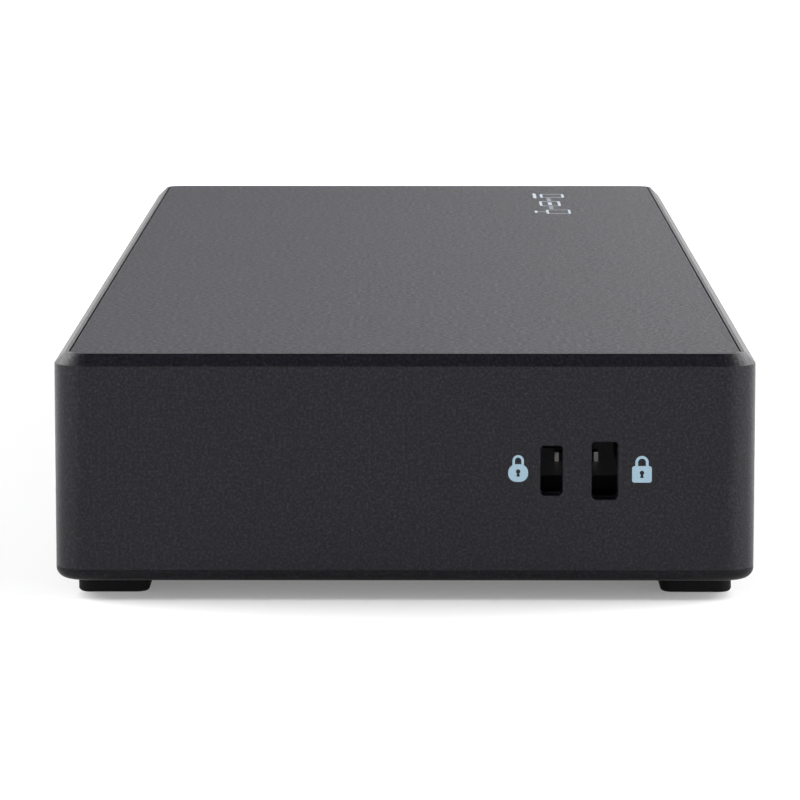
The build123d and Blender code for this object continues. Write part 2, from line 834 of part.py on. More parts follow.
def make_card_socket():
    """The memory card socket: tray, steel cover, and the sprung slider of its push-push catch."""
    mouth = port_frame(front, card_x, port_z).offset(-card_socket_start)
    mid = (card_left + card_right) / 2
    tray_width = card_right - card_left
    floor_y = -1.7
    card_half = 1.2
    card_channel_width = 24.4
    end_wall = 1.5
    sheet = 0.2
    pocket_width = 2.4
    pocket_margin = 1.5
    tray_foot_width = 2.0
    tray_foot_setback = 2.0
    with BuildPart() as card_socket_tray:
        with BuildSketch(mouth):
            with Locations((mid, (floor_y + card_half) / 2)):
                Rectangle(tray_width, card_half - floor_y)
        extrude(amount=-card_socket_depth)
        with BuildSketch(mouth):
            Rectangle(card_channel_width, 2 * card_half)
        extrude(amount=-(card_socket_depth - end_wall), mode=Mode.SUBTRACT)
        # The slider's pocket, beside the card and open towards it
        with BuildSketch(mouth.offset(pocket_margin - slider_start)):
            with Locations((slider_x - 0.1, 0)):
                Rectangle(pocket_width, 2 * card_half)
        extrude(amount=-(slider_pocket_end - slider_start + pocket_margin), mode=Mode.SUBTRACT)
        # Two feet down to the board
        with BuildSketch(mouth.offset(-tray_foot_setback)):
            with Locations((mid, (floor_y - port_z + board_top_z) / 2)):
                with GridLocations(tray_width - tray_foot_width, 0, 2, 1):
                    Rectangle(tray_foot_width, port_z - board_top_z + floor_y)
        extrude(amount=-(card_socket_depth - 2 * tray_foot_setback))
    save(card_socket_tray, "card_socket_tray")

    with BuildPart() as card_socket_cover:
        with BuildSketch(mouth):
            with Locations((mid, (floor_y + card_half + sheet) / 2)):
                Rectangle(tray_width + 2 * sheet, card_half + sheet - floor_y)
            with Locations((mid, (floor_y + card_half) / 2)):
                Rectangle(tray_width, card_half - floor_y, mode=Mode.SUBTRACT)
        extrude(amount=-card_socket_depth)
    save(card_socket_cover, "card_socket_cover")

    # The slider's body runs in the pocket, and its finger catches the card's leading edge
    slider_width = 1.8
    slider_radius = 0.2
    finger_reach = 1.4
    finger_length = 2.2
    finger_thickness = 1.4
    with BuildPart() as card_slider:
        with BuildSketch(mouth.offset(-slider_start)):
            with Locations((slider_x, slider_y)):
                RectangleRounded(slider_width, slider_width, slider_radius)
        extrude(amount=-slider_length)
        with BuildSketch(mouth.offset(-(slider_start + slider_length - finger_thickness))):
            with Locations((slider_x - finger_reach, slider_y)):
                Rectangle(finger_length, finger_thickness)
        extrude(amount=-finger_thickness)
    save(card_slider, "card_slider")

    spring_start = slider_start + slider_length
    spring_length = slider_pocket_end - spring_start
    spring_radius = 0.6
    spring_pitch = 0.8
    spring_end_gap = 0.15
    wire_radius = 0.11
    coil_plane = mouth.offset(-(spring_start + spring_end_gap))
    coil_base = coil_plane.from_local_coords((slider_x, slider_y, 0))
    with BuildPart() as card_slider_spring:
        with BuildLine():
            coil = Helix(
                pitch=spring_pitch,
                height=spring_length - 2 * spring_end_gap,
                radius=spring_radius,
                center=coil_base,
                direction=-mouth.z_dir,
            )
        with BuildSketch(Plane(origin=coil @ 0, z_dir=coil % 0)):
            Circle(wire_radius)
        sweep(path=coil, is_frenet=True)
    save(card_slider_spring, "card_slider_spring")


# ================================================================ power button and light

button_travel = 0.5
button_stand_out = 0.7
button_rounding = 0.35
button_flange = 0.9
flange_front = panel_depth + 0.05
flange_back = flange_front + 0.8
plunger_front = flange_back + 0.03
plunger_length = 1.6
plunger_radius = 1.7
plunger_gap = 0.06
plunger_stand_out = 1.1
switch_front = plunger_front + plunger_stand_out
switch_size = 6.0
switch_depth = 3.6
switch_radius = 0.3


def make_power_button():
    """The power key, flanged behind the panel, over a side-acting tactile switch."""
    mouth = port_frame(front, button_x, port_z)
    with BuildPart() as power_button:
        with BuildSketch(mouth.offset(button_stand_out)):
            Circle(button_radius)
        extrude(amount=-(flange_back + button_stand_out))
        with BuildSketch(mouth.offset(-flange_front)):
            Circle(button_radius + button_flange)
        extrude(amount=-(flange_back - flange_front))
        fillet(power_button.faces().sort_by(Axis.Y)[0].edges(), button_rounding)
    save(power_button, "power_button")

    with BuildPart() as button_switch_plunger:
        with BuildSketch(mouth.offset(-plunger_front)):
            Circle(plunger_radius)
        extrude(amount=-plunger_length)
    save(button_switch_plunger, "button_switch_plunger")

    bore_end = plunger_length - plunger_stand_out + button_travel + 0.1
    with BuildPart() as button_switch_body:
        with BuildSketch(mouth.offset(-switch_front)):
            RectangleRounded(switch_size, switch_size, switch_radius)
        extrude(amount=-switch_depth)
        with BuildSketch(mouth.offset(-switch_front)):
            Circle(plunger_radius + plunger_gap)
        extrude(amount=-bore_end, mode=Mode.SUBTRACT)
    save(button_switch_body, "button_switch_body")


def make_status_light():
    """A bent light guide from the panel down to a small lamp on the board."""
    mouth = port_frame(front, light_x, port_z)
    guide_depth = 6.5
    collar = 0.6
    collar_thickness = 0.8
    lamp_size = (2.0, 1.25)
    lamp_height = 1.0
    lamp_gap = 0.2
    guide_foot_z = board_top_z + lamp_height + lamp_gap
    bend_taper = 30
    bend_height = 0.9 * light_radius
    bend_y = -(mouth_y + mouth_recess - guide_depth)
    with BuildPart() as status_light_guide:
        with BuildSketch(mouth.offset(mouth_recess)):
            Circle(light_radius)
        extrude(amount=-guide_depth)
        with BuildSketch(mouth.offset(-flange_front)):
            Circle(light_radius + collar)
        extrude(amount=-collar_thickness)
        with BuildSketch(Plane.XY.offset(guide_foot_z)):
            with Locations((light_x, bend_y)):
                Circle(light_radius)
        extrude(amount=port_z - guide_foot_z)
        with BuildSketch(Plane.XY.offset(port_z)):
            with Locations((light_x, bend_y)):
                Circle(light_radius)
        extrude(amount=bend_height, taper=bend_taper)
    save(status_light_guide, "status_light_guide")

    with BuildPart() as status_lamp:
        with BuildSketch(Plane.XY.offset(board_top_z)):
            with Locations((light_x, bend_y)):
                Rectangle(*lamp_size)
        extrude(amount=lamp_height)
    save(status_lamp, "status_lamp")


# ================================================================ board and what is on it

heatsink_mid_y = 5.5
heatsink_length = 116.0
heatsink_width = 25.0
heatsink_base_z = 15.2
heatsink_screw_points = [(-52, heatsink_mid_y), (52, heatsink_mid_y)]
chip_top_z = 14.3
chip_places = [(0, 14.0), (-33, 9.0), (33, 9.0)]


def make_main_board():
    """The circuit board, with its screw holes and a notch for the power button's flange."""
    with BuildPart() as main_board:
        with BuildSketch(Plane.XY.offset(board_bottom_z)):
            RectangleRounded(board_length, board_width, board_radius)
            with Locations(*board_screw_points, *heatsink_screw_points):
                Circle(board_hole_radius, mode=Mode.SUBTRACT)
            with Locations((button_x, -board_width / 2)):
                Rectangle(button_notch_width, 2 * button_notch_depth, mode=Mode.SUBTRACT)
        extrude(amount=board_thickness)
    save(main_board, "main_board")
    pan_screws("board_screws", board_screw_points, board_top_z, board_screw_reach, up=False)


def make_chips():
    """The port controller, its two hub chips, and the pads that couple them to the heatsink."""
    chip_height = chip_top_z - board_top_z
    substrate_height = 0.45 * chip_height
    body_share = 0.86
    body_radius = 0.4
    for name, places in (("controller_chip", chip_places[:1]), ("hub_chips", chip_places[1:])):
        size = places[0][1]
        points = [(x, heatsink_mid_y) for x, _ in places]
        with BuildPart() as chips:
            with BuildSketch(Plane.XY.offset(board_top_z)):
                with Locations(*points):
                    Rectangle(size, size)
            extrude(amount=substrate_height)
            with BuildSketch(Plane.XY.offset(board_top_z + substrate_height)):
                with Locations(*points):
                    RectangleRounded(body_share * size, body_share * size, body_radius)
            extrude(amount=chip_height - substrate_height)
        save(chips, name)

    with BuildPart() as thermal_pads:
        for x, size in chip_places:
            with BuildSketch(Plane.XY.offset(chip_top_z)):
                with Locations((x, heatsink_mid_y)):
                    Rectangle(size, size)
            extrude(amount=heatsink_base_z - chip_top_z)
    save(thermal_pads, "thermal_pads")


def make_heatsink():
    """The extruded heatsink on its two posts, and the screws that hold it to the board."""
    base_thickness = 2.5
    fin_top_z = 25.5
    fin_count = 8
    fin_thickness = 1.1
    post_radius = 2.6
    post_bore_depth = 4.2
    post_bore_gap = 0.05
    screw_reach = 5.4
    fin_pitch = (heatsink_width - fin_thickness) / (fin_count - 1)
    with BuildPart() as heatsink:
        with BuildSketch(Plane.XY.offset(heatsink_base_z)):
            with Locations((0, heatsink_mid_y)):
                Rectangle(heatsink_length, heatsink_width)
        extrude(amount=base_thickness)
        with BuildSketch(Plane.XY.offset(heatsink_base_z + base_thickness)):
            with Locations((0, heatsink_mid_y)):
                with GridLocations(0, fin_pitch, 1, fin_count):
                    Rectangle(heatsink_length, fin_thickness)
        extrude(amount=fin_top_z - heatsink_base_z - base_thickness)
        with BuildSketch(Plane.XY.offset(board_top_z)):
            with Locations(*heatsink_screw_points):
                Circle(post_radius)
        extrude(amount=heatsink_base_z - board_top_z)
        with BuildSketch(Plane.XY.offset(board_top_z)):
            with Locations(*heatsink_screw_points):
                Circle(screw_radius + post_bore_gap)
        extrude(amount=post_bore_depth, mode=Mode.SUBTRACT)
    save(heatsink, "heatsink")
    pan_screws("heatsink_screws", heatsink_screw_points, board_bottom_z, screw_reach, up=True)


def make_board_parts():
    """Power inductors, can capacitors and the input fuse with its two end caps."""
    inductor_points = [(72, 21), (72, 12), (62, 24), (-66, 12), (-66, 2)]
    inductor_size = 6.6
    inductor_radius = 1.2
    inductor_height = 3.4
    inductor_bevel = 0.4
    with BuildPart() as power_inductors:
        with BuildSketch(Plane.XY.offset(board_top_z)):
            with Locations(*inductor_points):
                RectangleRounded(inductor_size, inductor_size, inductor_radius)
        extrude(amount=inductor_height)
        top_edges = near_level(power_inductors.edges(), Axis.Z, board_top_z + inductor_height)
        chamfer(top_edges, inductor_bevel)
    save(power_inductors, "power_inductors")

    can_points = [(80, -2), (80, -11), (-80, -6), (-44, 22.5), (-26, 22.5), (18, -22), (50, -22)]
    can_radius = 3.1
    can_height = 6.2
    can_rounding = 0.4
    base_size = 6.6
    base_radius = 0.6
    base_height = 0.8
    with BuildPart() as can_capacitors:
        with BuildSketch(Plane.XY.offset(board_top_z)):
            with Locations(*can_points):
                RectangleRounded(base_size, base_size, base_radius)
        extrude(amount=base_height)
        with BuildSketch(Plane.XY.offset(board_top_z + base_height)):
            with Locations(*can_points):
                Circle(can_radius)
        extrude(amount=can_height - base_height)
        top_edges = near_level(can_capacitors.edges(), Axis.Z, board_top_z + can_height)
        fillet(top_edges, can_rounding)
    save(can_capacitors, "can_capacitors")

    fuse_x = 84.9
    fuse_y = 21.65
    fuse_length = 5.5
    fuse_width = 2.8
    fuse_height = 1.15
    cap_length = 0.55
    cap_width = 2.9
    cap_height = 1.2
    with BuildPart() as input_fuse:
        with BuildSketch(Plane.XY.offset(board_top_z)):
            with Locations((fuse_x, fuse_y)):
                Rectangle(fuse_width, fuse_length - 2 * cap_length)
        extrude(amount=fuse_height)
    save(input_fuse, "input_fuse")
    with BuildPart() as input_fuse_caps:
        with BuildSketch(Plane.XY.offset(board_top_z)):
            with Locations((fuse_x, fuse_y)):
                with GridLocations(0, fuse_length - cap_length, 1, 2):
                    Rectangle(cap_width, cap_length)
        extrude(amount=cap_height)
    save(input_fuse_caps, "input_fuse_caps")


def make_lock_bracket():
    """The steel angle behind the lock slots, and the screws that hold it to the cover."""
    sheet = 1.2
    wall_gap = 0.2
    hole_gap = 0.2
    screw_reach = 4.0
    plate_face_x = end_inner_x - wall_gap
    plate_back_x = plate_face_x - sheet
    foot_inner_x = 98.5
    plate_top_z = 26.4
    plate_mid_y = 21.0
    plate_width = 21.0
    with BuildPart() as lock_bracket:
        with BuildSketch(Plane.XZ.offset(-plate_mid_y)):
            with BuildLine():
                Polyline(
                    (plate_face_x, lock_pad_z),
                    (plate_face_x, plate_top_z),
                    (plate_back_x, plate_top_z),
                    (plate_back_x, lock_pad_z + sheet),
                    (foot_inner_x, lock_pad_z + sheet),
                    (foot_inner_x, lock_pad_z),
                    close=True,
                )
            make_face()
        extrude(amount=plate_width / 2, both=True)
        with BuildSketch(Plane.YZ.offset(plate_face_x + overcut)):
            slot_sketch(nano_slot)
            slot_sketch(standard_slot)
        extrude(amount=-(sheet + 2 * overcut), mode=Mode.SUBTRACT)
        with BuildSketch(Plane.XY.offset(lock_pad_z)):
            with Locations(*lock_screw_points):
                Circle(screw_radius + hole_gap)
        extrude(amount=sheet, mode=Mode.SUBTRACT)
    save(lock_bracket, "lock_bracket")
    seat_z = lock_pad_z + sheet
    pan_screws("lock_bracket_screws", lock_screw_points, seat_z, screw_reach, up=False)


# ================================================================ build

make_housing()
make_top_plate()
make_bottom_cover()
make_feet()
make_enclosure_fasteners()
make_panel("front_panel", front, front_apertures)
make_panel("rear_panel", rear, rear_apertures)
make_usb_a("front_usb_a", front, front_usb_a_x)
make_usb_c("host_usb_c", front, host_usb_c_x)
for number, x in enumerate(rear_usb_a_x, 1):
    make_usb_a(f"rear_usb_a_{number}", rear, x)
for number, x in enumerate(rear_usb_c_x, 1):
    make_usb_c(f"rear_usb_c_{number}", rear, x)
make_ethernet()
make_dc_inlet()
make_audio_jack()
make_card_socket()
make_power_button()
make_status_light()
make_main_board()
make_chips()
make_heatsink()
make_board_parts()
make_lock_bracket()
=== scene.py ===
"""Looks for a flat docking station: materials, printed marks, port details, studio and camera.

Every length is in metres. MM turns millimetres, in which small details are written, into metres.
"""

import json
import math
import random

import bmesh
import bpy
from mathutils import Matrix, Vector


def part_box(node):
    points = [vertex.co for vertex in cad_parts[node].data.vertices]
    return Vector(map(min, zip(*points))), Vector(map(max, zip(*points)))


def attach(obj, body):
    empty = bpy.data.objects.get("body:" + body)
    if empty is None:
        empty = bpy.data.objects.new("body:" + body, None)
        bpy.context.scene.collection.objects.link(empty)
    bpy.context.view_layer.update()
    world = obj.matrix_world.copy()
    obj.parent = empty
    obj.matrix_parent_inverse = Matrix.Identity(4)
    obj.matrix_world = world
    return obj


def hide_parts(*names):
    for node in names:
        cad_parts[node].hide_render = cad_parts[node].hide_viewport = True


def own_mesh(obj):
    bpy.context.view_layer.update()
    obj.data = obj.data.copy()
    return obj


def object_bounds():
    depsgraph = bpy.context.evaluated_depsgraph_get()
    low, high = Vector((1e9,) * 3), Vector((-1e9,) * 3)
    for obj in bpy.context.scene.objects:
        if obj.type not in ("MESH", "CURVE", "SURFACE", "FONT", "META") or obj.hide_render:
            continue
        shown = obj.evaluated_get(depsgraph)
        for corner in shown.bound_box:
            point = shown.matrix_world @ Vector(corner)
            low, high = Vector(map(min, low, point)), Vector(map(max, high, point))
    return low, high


MM = 0.001
WHITE = (1.0, 1.0, 1.0)

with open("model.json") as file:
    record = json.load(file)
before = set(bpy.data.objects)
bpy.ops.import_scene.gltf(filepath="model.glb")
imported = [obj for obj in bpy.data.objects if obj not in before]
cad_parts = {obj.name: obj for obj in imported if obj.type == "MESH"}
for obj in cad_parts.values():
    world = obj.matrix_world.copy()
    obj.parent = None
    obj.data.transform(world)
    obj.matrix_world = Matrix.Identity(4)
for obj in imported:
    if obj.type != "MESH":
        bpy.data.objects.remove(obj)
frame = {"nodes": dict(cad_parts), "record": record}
cad_low, cad_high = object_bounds()
nodes = frame["nodes"]


# ---------------------------------------------------------------- node materials


class Shader:
    """A material's node tree, built up one node at a time."""

    def __init__(self, name):
        self.material = bpy.data.materials.new(name)
        self.material.use_nodes = True
        self.tree = self.material.node_tree
        self.tree.nodes.clear()
        self.output = self.node("ShaderNodeOutputMaterial")
        self.principled = self.node("ShaderNodeBsdfPrincipled")
        self.link(self.principled, "BSDF", self.output, "Surface")
        self.coordinates = self.node("ShaderNodeTexCoord")

    def node(self, kind, **settings):
        """Adds a node and sets its properties and its input sockets."""
        made = self.tree.nodes.new(kind)
        for key, value in settings.items():
            if hasattr(made, key):
                setattr(made, key, value)
            else:
                made.inputs[key.replace("_", " ")].default_value = value
        return made

    def link(self, source, out_name, target, in_name):
        """Joins one node's output to another's input, both by name."""
        self.tree.links.new(source.outputs[out_name], target.inputs[in_name])

    def set(self, **sockets):
        """Sets constants on the shader's own sockets."""
        for key, value in sockets.items():
            self.principled.inputs[key.replace("_", " ")].default_value = value
        return self

    def mapped(self, stretch=(1, 1, 1)):
        """Object coordinates, stretched, for a grain that has a direction."""
        mapping = self.node("ShaderNodeMapping")
        mapping.inputs["Scale"].default_value = stretch
        self.link(self.coordinates, "Object", mapping, "Vector")
        return mapping

    def noise(self, size, detail=2.0, roughness=0.5, stretch=(1, 1, 1)):
        """Noise whose features are about `size` metres across."""
        made = self.node("ShaderNodeTexNoise", Scale=1 / size, Detail=detail, Roughness=roughness)
        self.link(self.mapped(stretch), "Vector", made, "Vector")
        return made

    def ramp(self, source, out_name, stops):
        """A colour ramp driven by a value, with (position, colour) stops."""
        made = self.node("ShaderNodeValToRGB")
        elements = made.color_ramp.elements
        while len(elements) < len(stops):
            elements.new(0.5)
        for element, (position, colour) in zip(elements, stops):
            element.position = position
            element.color = (*colour, 1.0)
        self.link(source, out_name, made, "Fac")
        return made

    def bump(self, source, out_name, depth, strength=1.0, below=None):
        """A bump of that depth in metres, over the one below it."""
        made = self.node("ShaderNodeBump", Strength=strength, Distance=depth)
        self.link(source, out_name, made, "Height")
        if below is not None:
            self.link(below, "Normal", made, "Normal")
        return made

    def finish(self, colour=None, roughness=None, normal=None):
        """Joins the last node of each chain to the shader."""
        if colour is not None:
            self.link(colour, "Color", self.principled, "Base Color")
        if roughness is not None:
            self.tree.links.new(roughness.outputs[0], self.principled.inputs["Roughness"])
        if normal is not None:
            self.link(normal, "Normal", self.principled, "Normal")
        return self.material

    def multiplied(self, first, second, amount=1.0):
        """One colour node multiplied by another."""
        made = self.node("ShaderNodeMixRGB", blend_type="MULTIPLY")
        made.inputs["Fac"].default_value = amount
        self.link(first, "Color", made, "Color1")
        self.link(second, "Color", made, "Color2")
        return made

    def varied(self, source, out_name, low, high):
        """A value between low and high that follows a noise, which mostly lies in 0.3 to 0.7."""
        made = self.node("ShaderNodeMapRange")
        made.inputs["From Min"].default_value = 0.3
        made.inputs["From Max"].default_value = 0.7
        made.inputs["To Min"].default_value = low
        made.inputs["To Max"].default_value = high
        self.link(source, out_name, made, "Value")
        return made


def scaled(colour, factor):
    """A colour made darker or lighter, and never past full."""
    return tuple(min(1.0, c * factor) for c in colour)


def grained_plastic(name, colour, roughness, spread, specular, grain, depth, contrast, drift=0.0):
    """Moulded plastic with a spark-eroded texture: a fine relief, darker pits and lighter flecks.

    The grain's size and depth are in metres. The roughness varies by the spread with the grain,
    and the contrast is how much lighter the flecks are than the colour. With a drift, the gloss
    also rises slowly across the width, from the front edge to the rear.
    """
    shader = Shader(name).set(Specular_IOR_Level=specular)
    relief = shader.noise(grain, detail=4.0, roughness=0.75)
    broad = shader.noise(14 * MM, detail=2.0)
    stops = [
        (0.34, scaled(colour, 1 - 0.5 * contrast)),
        (0.50, colour),
        (0.62, scaled(colour, 1 + contrast)),
        (0.72, scaled(colour, 1 + 2.2 * contrast)),
    ]
    tone = shader.ramp(relief, "Fac", stops)
    shade = shader.ramp(broad, "Fac", [(0.3, (0.90, 0.90, 0.90)), (0.7, WHITE)])
    gloss = shader.varied(relief, "Fac", roughness + spread, roughness - spread)
    if drift:
        place = shader.node("ShaderNodeSeparateXYZ")
        shader.link(shader.coordinates, "Object", place, "Vector")
        across = shader.node("ShaderNodeMath", operation="MULTIPLY_ADD")
        across.inputs[1].default_value = -drift / cad_high.y
        shader.link(place, "Y", across, 0)
        shader.link(gloss, "Result", across, 2)
        gloss = across
    return shader.finish(
        colour=shader.multiplied(tone, shade),
        roughness=gloss,
        normal=shader.bump(relief, "Fac", depth),
    )


def moulded_plastic(name, colour, roughness, specular=0.5):
    """Plain moulded plastic: slight tone and gloss changes, and a faint flow texture."""
    shader = Shader(name).set(Specular_IOR_Level=specular)
    flow = shader.noise(1.2 * MM, detail=4.0, stretch=(1, 1, 0.4))
    fine = shader.noise(0.08 * MM, detail=2.0)
    tone = shader.ramp(flow, "Fac", [(0.3, scaled(colour, 0.86)), (0.7, scaled(colour, 1.12))])
    return shader.finish(
        colour=tone,
        roughness=shader.varied(flow, "Fac", roughness - 0.06, roughness + 0.06),
        normal=shader.bump(fine, "Fac", 0.004 * MM),
    )


def metal(name, colour, roughness, stretch=(1, 1, 1), scratch=0.25 * MM, depth=0.003 * MM):
    """Bare or plated metal with a directional brushed or drawn grain and slight tarnish."""
    shader = Shader(name).set(Metallic=1.0)
    grain = shader.noise(scratch, detail=5.0, roughness=0.7, stretch=stretch)
    tarnish = shader.noise(2.5 * MM, detail=3.0)
    tone = shader.ramp(
        tarnish, "Fac", [(0.3, scaled(colour, 0.80)), (0.55, colour), (0.8, scaled(colour, 1.08))]
    )
    return shader.finish(
        colour=tone,
        roughness=shader.varied(grain, "Fac", max(0.05, roughness - 0.10), roughness + 0.12),
        normal=shader.bump(grain, "Fac", depth),
    )


def rubber(name, colour, roughness=0.75):
    """Matt rubber with a fine pebbled skin and a little dust in it."""
    shader = Shader(name).set(Specular_IOR_Level=0.14)
    pebble = shader.node("ShaderNodeTexVoronoi", Scale=1 / (0.35 * MM))
    shader.link(shader.coordinates, "Object", pebble, "Vector")
    dust = shader.noise(1.5 * MM, detail=4.0)
    tone = shader.ramp(dust, "Fac", [(0.45, colour), (0.75, scaled(colour, 2.0))])
    return shader.finish(
        colour=tone,
        roughness=shader.varied(dust, "Fac", roughness - 0.05, roughness + 0.08),
        normal=shader.bump(pebble, "Distance", 0.02 * MM, strength=0.6),
    )


def circuit_board(name, mask, pour, painted_edge_shade):
    """Solder mask over broad copper pours and fine traces, with painted shade on the upright faces
    of its cut edge.

    Its flat faces glow very faintly, for the light that reaches them through the ports and vents.
    """
    shader = Shader(name).set(Specular_IOR_Level=0.2, Emission_Color=(0.93, 0.95, 1.0, 1))
    pours = shader.node("ShaderNodeTexVoronoi", feature="DISTANCE_TO_EDGE", Scale=1 / (9 * MM))
    shader.link(shader.coordinates, "Object", pours, "Vector")
    lines = shader.node("ShaderNodeTexWave", Scale=1 / (1.9 * MM), Distortion=3.0, Detail=1.0)
    shader.link(shader.coordinates, "Object", lines, "Vector")
    pour_tone = shader.ramp(pours, "Distance", [(0.03, mask), (0.06, pour)])
    line_tone = shader.ramp(lines, "Fac", [(0.55, (0.75, 0.75, 0.75)), (0.7, WHITE)])
    weave = shader.noise(0.3 * MM, detail=1.0)
    facing = shader.node("ShaderNodeSeparateXYZ")
    shader.link(shader.node("ShaderNodeNewGeometry"), "True Normal", facing, "Vector")
    upright, flat = 0.4, 0.6
    # Painted shade: upright faces, the board's cut edge, have the dark edge colour multiplied in,
    # while flat faces keep the mask's colour.
    cut = shader.ramp(facing, "Z", [(upright, painted_edge_shade), (flat, WHITE)])
    glow = shader.node("ShaderNodeMapRange")
    glow.inputs["From Min"].default_value = upright
    glow.inputs["From Max"].default_value = flat
    glow.inputs["To Max"].default_value = 0.0055
    shader.link(facing, "Z", glow, "Value")
    shader.link(glow, "Result", shader.principled, "Emission Strength")
    return shader.finish(
        colour=shader.multiplied(shader.multiplied(pour_tone, line_tone, 0.6), cut),
        roughness=shader.varied(weave, "Fac", 0.38, 0.52),
        normal=shader.bump(lines, "Fac", 0.02 * MM, below=shader.bump(weave, "Fac", 0.004 * MM)),
    )


def clear_acrylic(name):
    """A light guide: clear, slightly frosted, with faint mould haze."""
    shader = Shader(name).set(Transmission_Weight=0.75, IOR=1.49)
    haze = shader.noise(0.6 * MM, detail=3.0)
    tone = shader.ramp(haze, "Fac", [(0.3, (0.80, 0.84, 0.88)), (0.7, (0.93, 0.95, 0.97))])
    return shader.finish(
        colour=tone,
        roughness=shader.varied(haze, "Fac", 0.22, 0.38),
        normal=shader.bump(haze, "Fac", 0.004 * MM),
    )


def printed_ink(name, colour):
    """Pad-printed ink: nearly even, with the plastic's grain just showing in it."""
    shader = Shader(name).set(Specular_IOR_Level=0.35)
    grain = shader.noise(0.16 * MM, detail=3.0)
    tone = shader.ramp(grain, "Fac", [(0.3, scaled(colour, 0.88)), (0.6, colour)])
    return shader.finish(
        colour=tone,
        roughness=shader.varied(grain, "Fac", 0.55, 0.7),
        normal=shader.bump(grain, "Fac", 0.006 * MM),
    )


# The record's material slots, and top_ink, which is a paler ink of its own
materials = {
    "housing_plastic": grained_plastic(
        "housing_plastic",
        colour=(0.0053, 0.0048, 0.0076),
        roughness=0.31,
        spread=0.02,
        specular=0.19,
        grain=0.34 * MM,
        depth=0.07 * MM,
        contrast=1.8,
    ),
    "top_skin": grained_plastic(
        "top_skin",
        colour=(0.0210, 0.0202, 0.0262),
        roughness=0.498,
        spread=0.08,
        specular=0.28,
        grain=0.60 * MM,
        depth=0.20 * MM,
        contrast=1.2,
        drift=0.07,
    ),
    "cover_plastic": grained_plastic(
        "cover_plastic",
        colour=(0.0046, 0.0043, 0.0056),
        roughness=0.40,
        spread=0.03,
        specular=0.11,
        grain=0.34 * MM,
        depth=0.05 * MM,
        contrast=1.5,
    ),
    "panel_plastic": grained_plastic(
        "panel_plastic",
        colour=(0.0070, 0.0065, 0.0090),
        roughness=0.48,
        spread=0.05,
        specular=0.28,
        grain=0.28 * MM,
        depth=0.03 * MM,
        contrast=1.0,
    ),
    "button_plastic": moulded_plastic("button_plastic", (0.020, 0.020, 0.021), 0.38),
    "foot_rubber": rubber("foot_rubber", (0.0026, 0.0026, 0.0031)),
    "adhesive": rubber("adhesive", (0.05, 0.05, 0.05)),
    "label_film": moulded_plastic("label_film", (0.30, 0.30, 0.31), 0.42),
    "screw_steel": metal("screw_steel", (0.45, 0.45, 0.46), 0.34),
    "insert_brass": metal("insert_brass", (0.72, 0.53, 0.24), 0.30),
    "light_guide": clear_acrylic("light_guide"),
    "lamp": moulded_plastic("lamp", (0.75, 0.76, 0.68), 0.30),
    "port_steel": metal("port_steel", (0.62, 0.61, 0.60), 0.26, stretch=(1, 0.12, 1)),
    "usb_a_plastic": moulded_plastic("usb_a_plastic", (0.015, 0.085, 0.36), 0.42),
    "port_plastic": moulded_plastic("port_plastic", (0.014, 0.014, 0.014), 0.45),
    "contact_metal": metal("contact_metal", (0.90, 0.66, 0.30), 0.22),
    "slider_plastic": moulded_plastic("slider_plastic", (0.55, 0.55, 0.52), 0.42),
    "spring_steel": metal("spring_steel", (0.60, 0.60, 0.60), 0.22),
    "board_laminate": circuit_board(
        "board_laminate",
        mask=(0.035, 0.042, 0.040),
        pour=(0.055, 0.066, 0.062),
        # The edge colour is painted shade, multiplied onto the board's upright faces.
        painted_edge_shade=(0.05, 0.05, 0.05),
    ),
    "chip_resin": moulded_plastic("chip_resin", (0.016, 0.016, 0.017), 0.55),
    "solder_tin": metal("solder_tin", (0.86, 0.84, 0.78), 0.35),
    "pad_silicone": rubber("pad_silicone", (0.40, 0.37, 0.39)),
    "heatsink_metal": metal("heatsink_metal", (0.72, 0.72, 0.73), 0.36, stretch=(0.06, 1, 1)),
    "can_metal": metal("can_metal", (0.76, 0.76, 0.77), 0.28, stretch=(1, 1, 0.2)),
    "bracket_steel": metal("bracket_steel", (0.10, 0.10, 0.105), 0.48),
    "marking_ink": printed_ink("marking_ink", (0.277, 0.400, 0.486)),
    "top_ink": printed_ink("top_ink", (0.38, 0.425, 0.48)),
}


def dress(obj, slot):
    """Gives an object one of the materials in place of whatever it has."""
    if obj.data.materials:
        for index in range(len(obj.data.materials)):
            obj.data.materials[index] = materials[slot]
    else:
        obj.data.materials.append(materials[slot])


for subpart in frame["record"]["subparts"]:
    dress(nodes[subpart["node"]], subpart["material_slot"])


# ---------------------------------------------------------------- mesh helpers


def add_piece(name, bm, matrix, slot, body="dock", smooth=False):
    """Makes an object from a bmesh drawn in millimetres, placed by a matrix, on a CAD body."""
    bmesh.ops.recalc_face_normals(bm, faces=bm.faces)
    bm.transform(matrix @ Matrix.Diagonal((MM, MM, MM, 1)))
    mesh = bpy.data.meshes.new(name)
    bm.to_mesh(mesh)
    bm.free()
    if smooth:
        mesh.shade_smooth()
    piece = bpy.data.objects.new(name, mesh)
    bpy.context.scene.collection.objects.link(piece)
    dress(piece, slot)
    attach(piece, body)
    return piece


def placed(origin, across, up):
    """A matrix whose X runs across, whose Y is up and whose Z points out of the surface."""
    x, y = Vector(across), Vector(up)
    rotation = Matrix((x, y, x.cross(y))).transposed().to_4x4()
    return Matrix.Translation(origin) @ rotation


def port_place(node, mid_below_top=None):
    """A port's mouth, from its shell's box: X across, Y up, Z out, origin in the middle."""
    low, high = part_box(node)
    side = 1 if high.y > 0 else -1
    if mid_below_top is None:
        mid_below_top = (high.z - low.z) / 2 / MM
    origin = ((low.x + high.x) / 2, high.y if side > 0 else low.y, high.z - mid_below_top * MM)
    return placed(origin, (-side, 0, 0), (0, 0, 1))


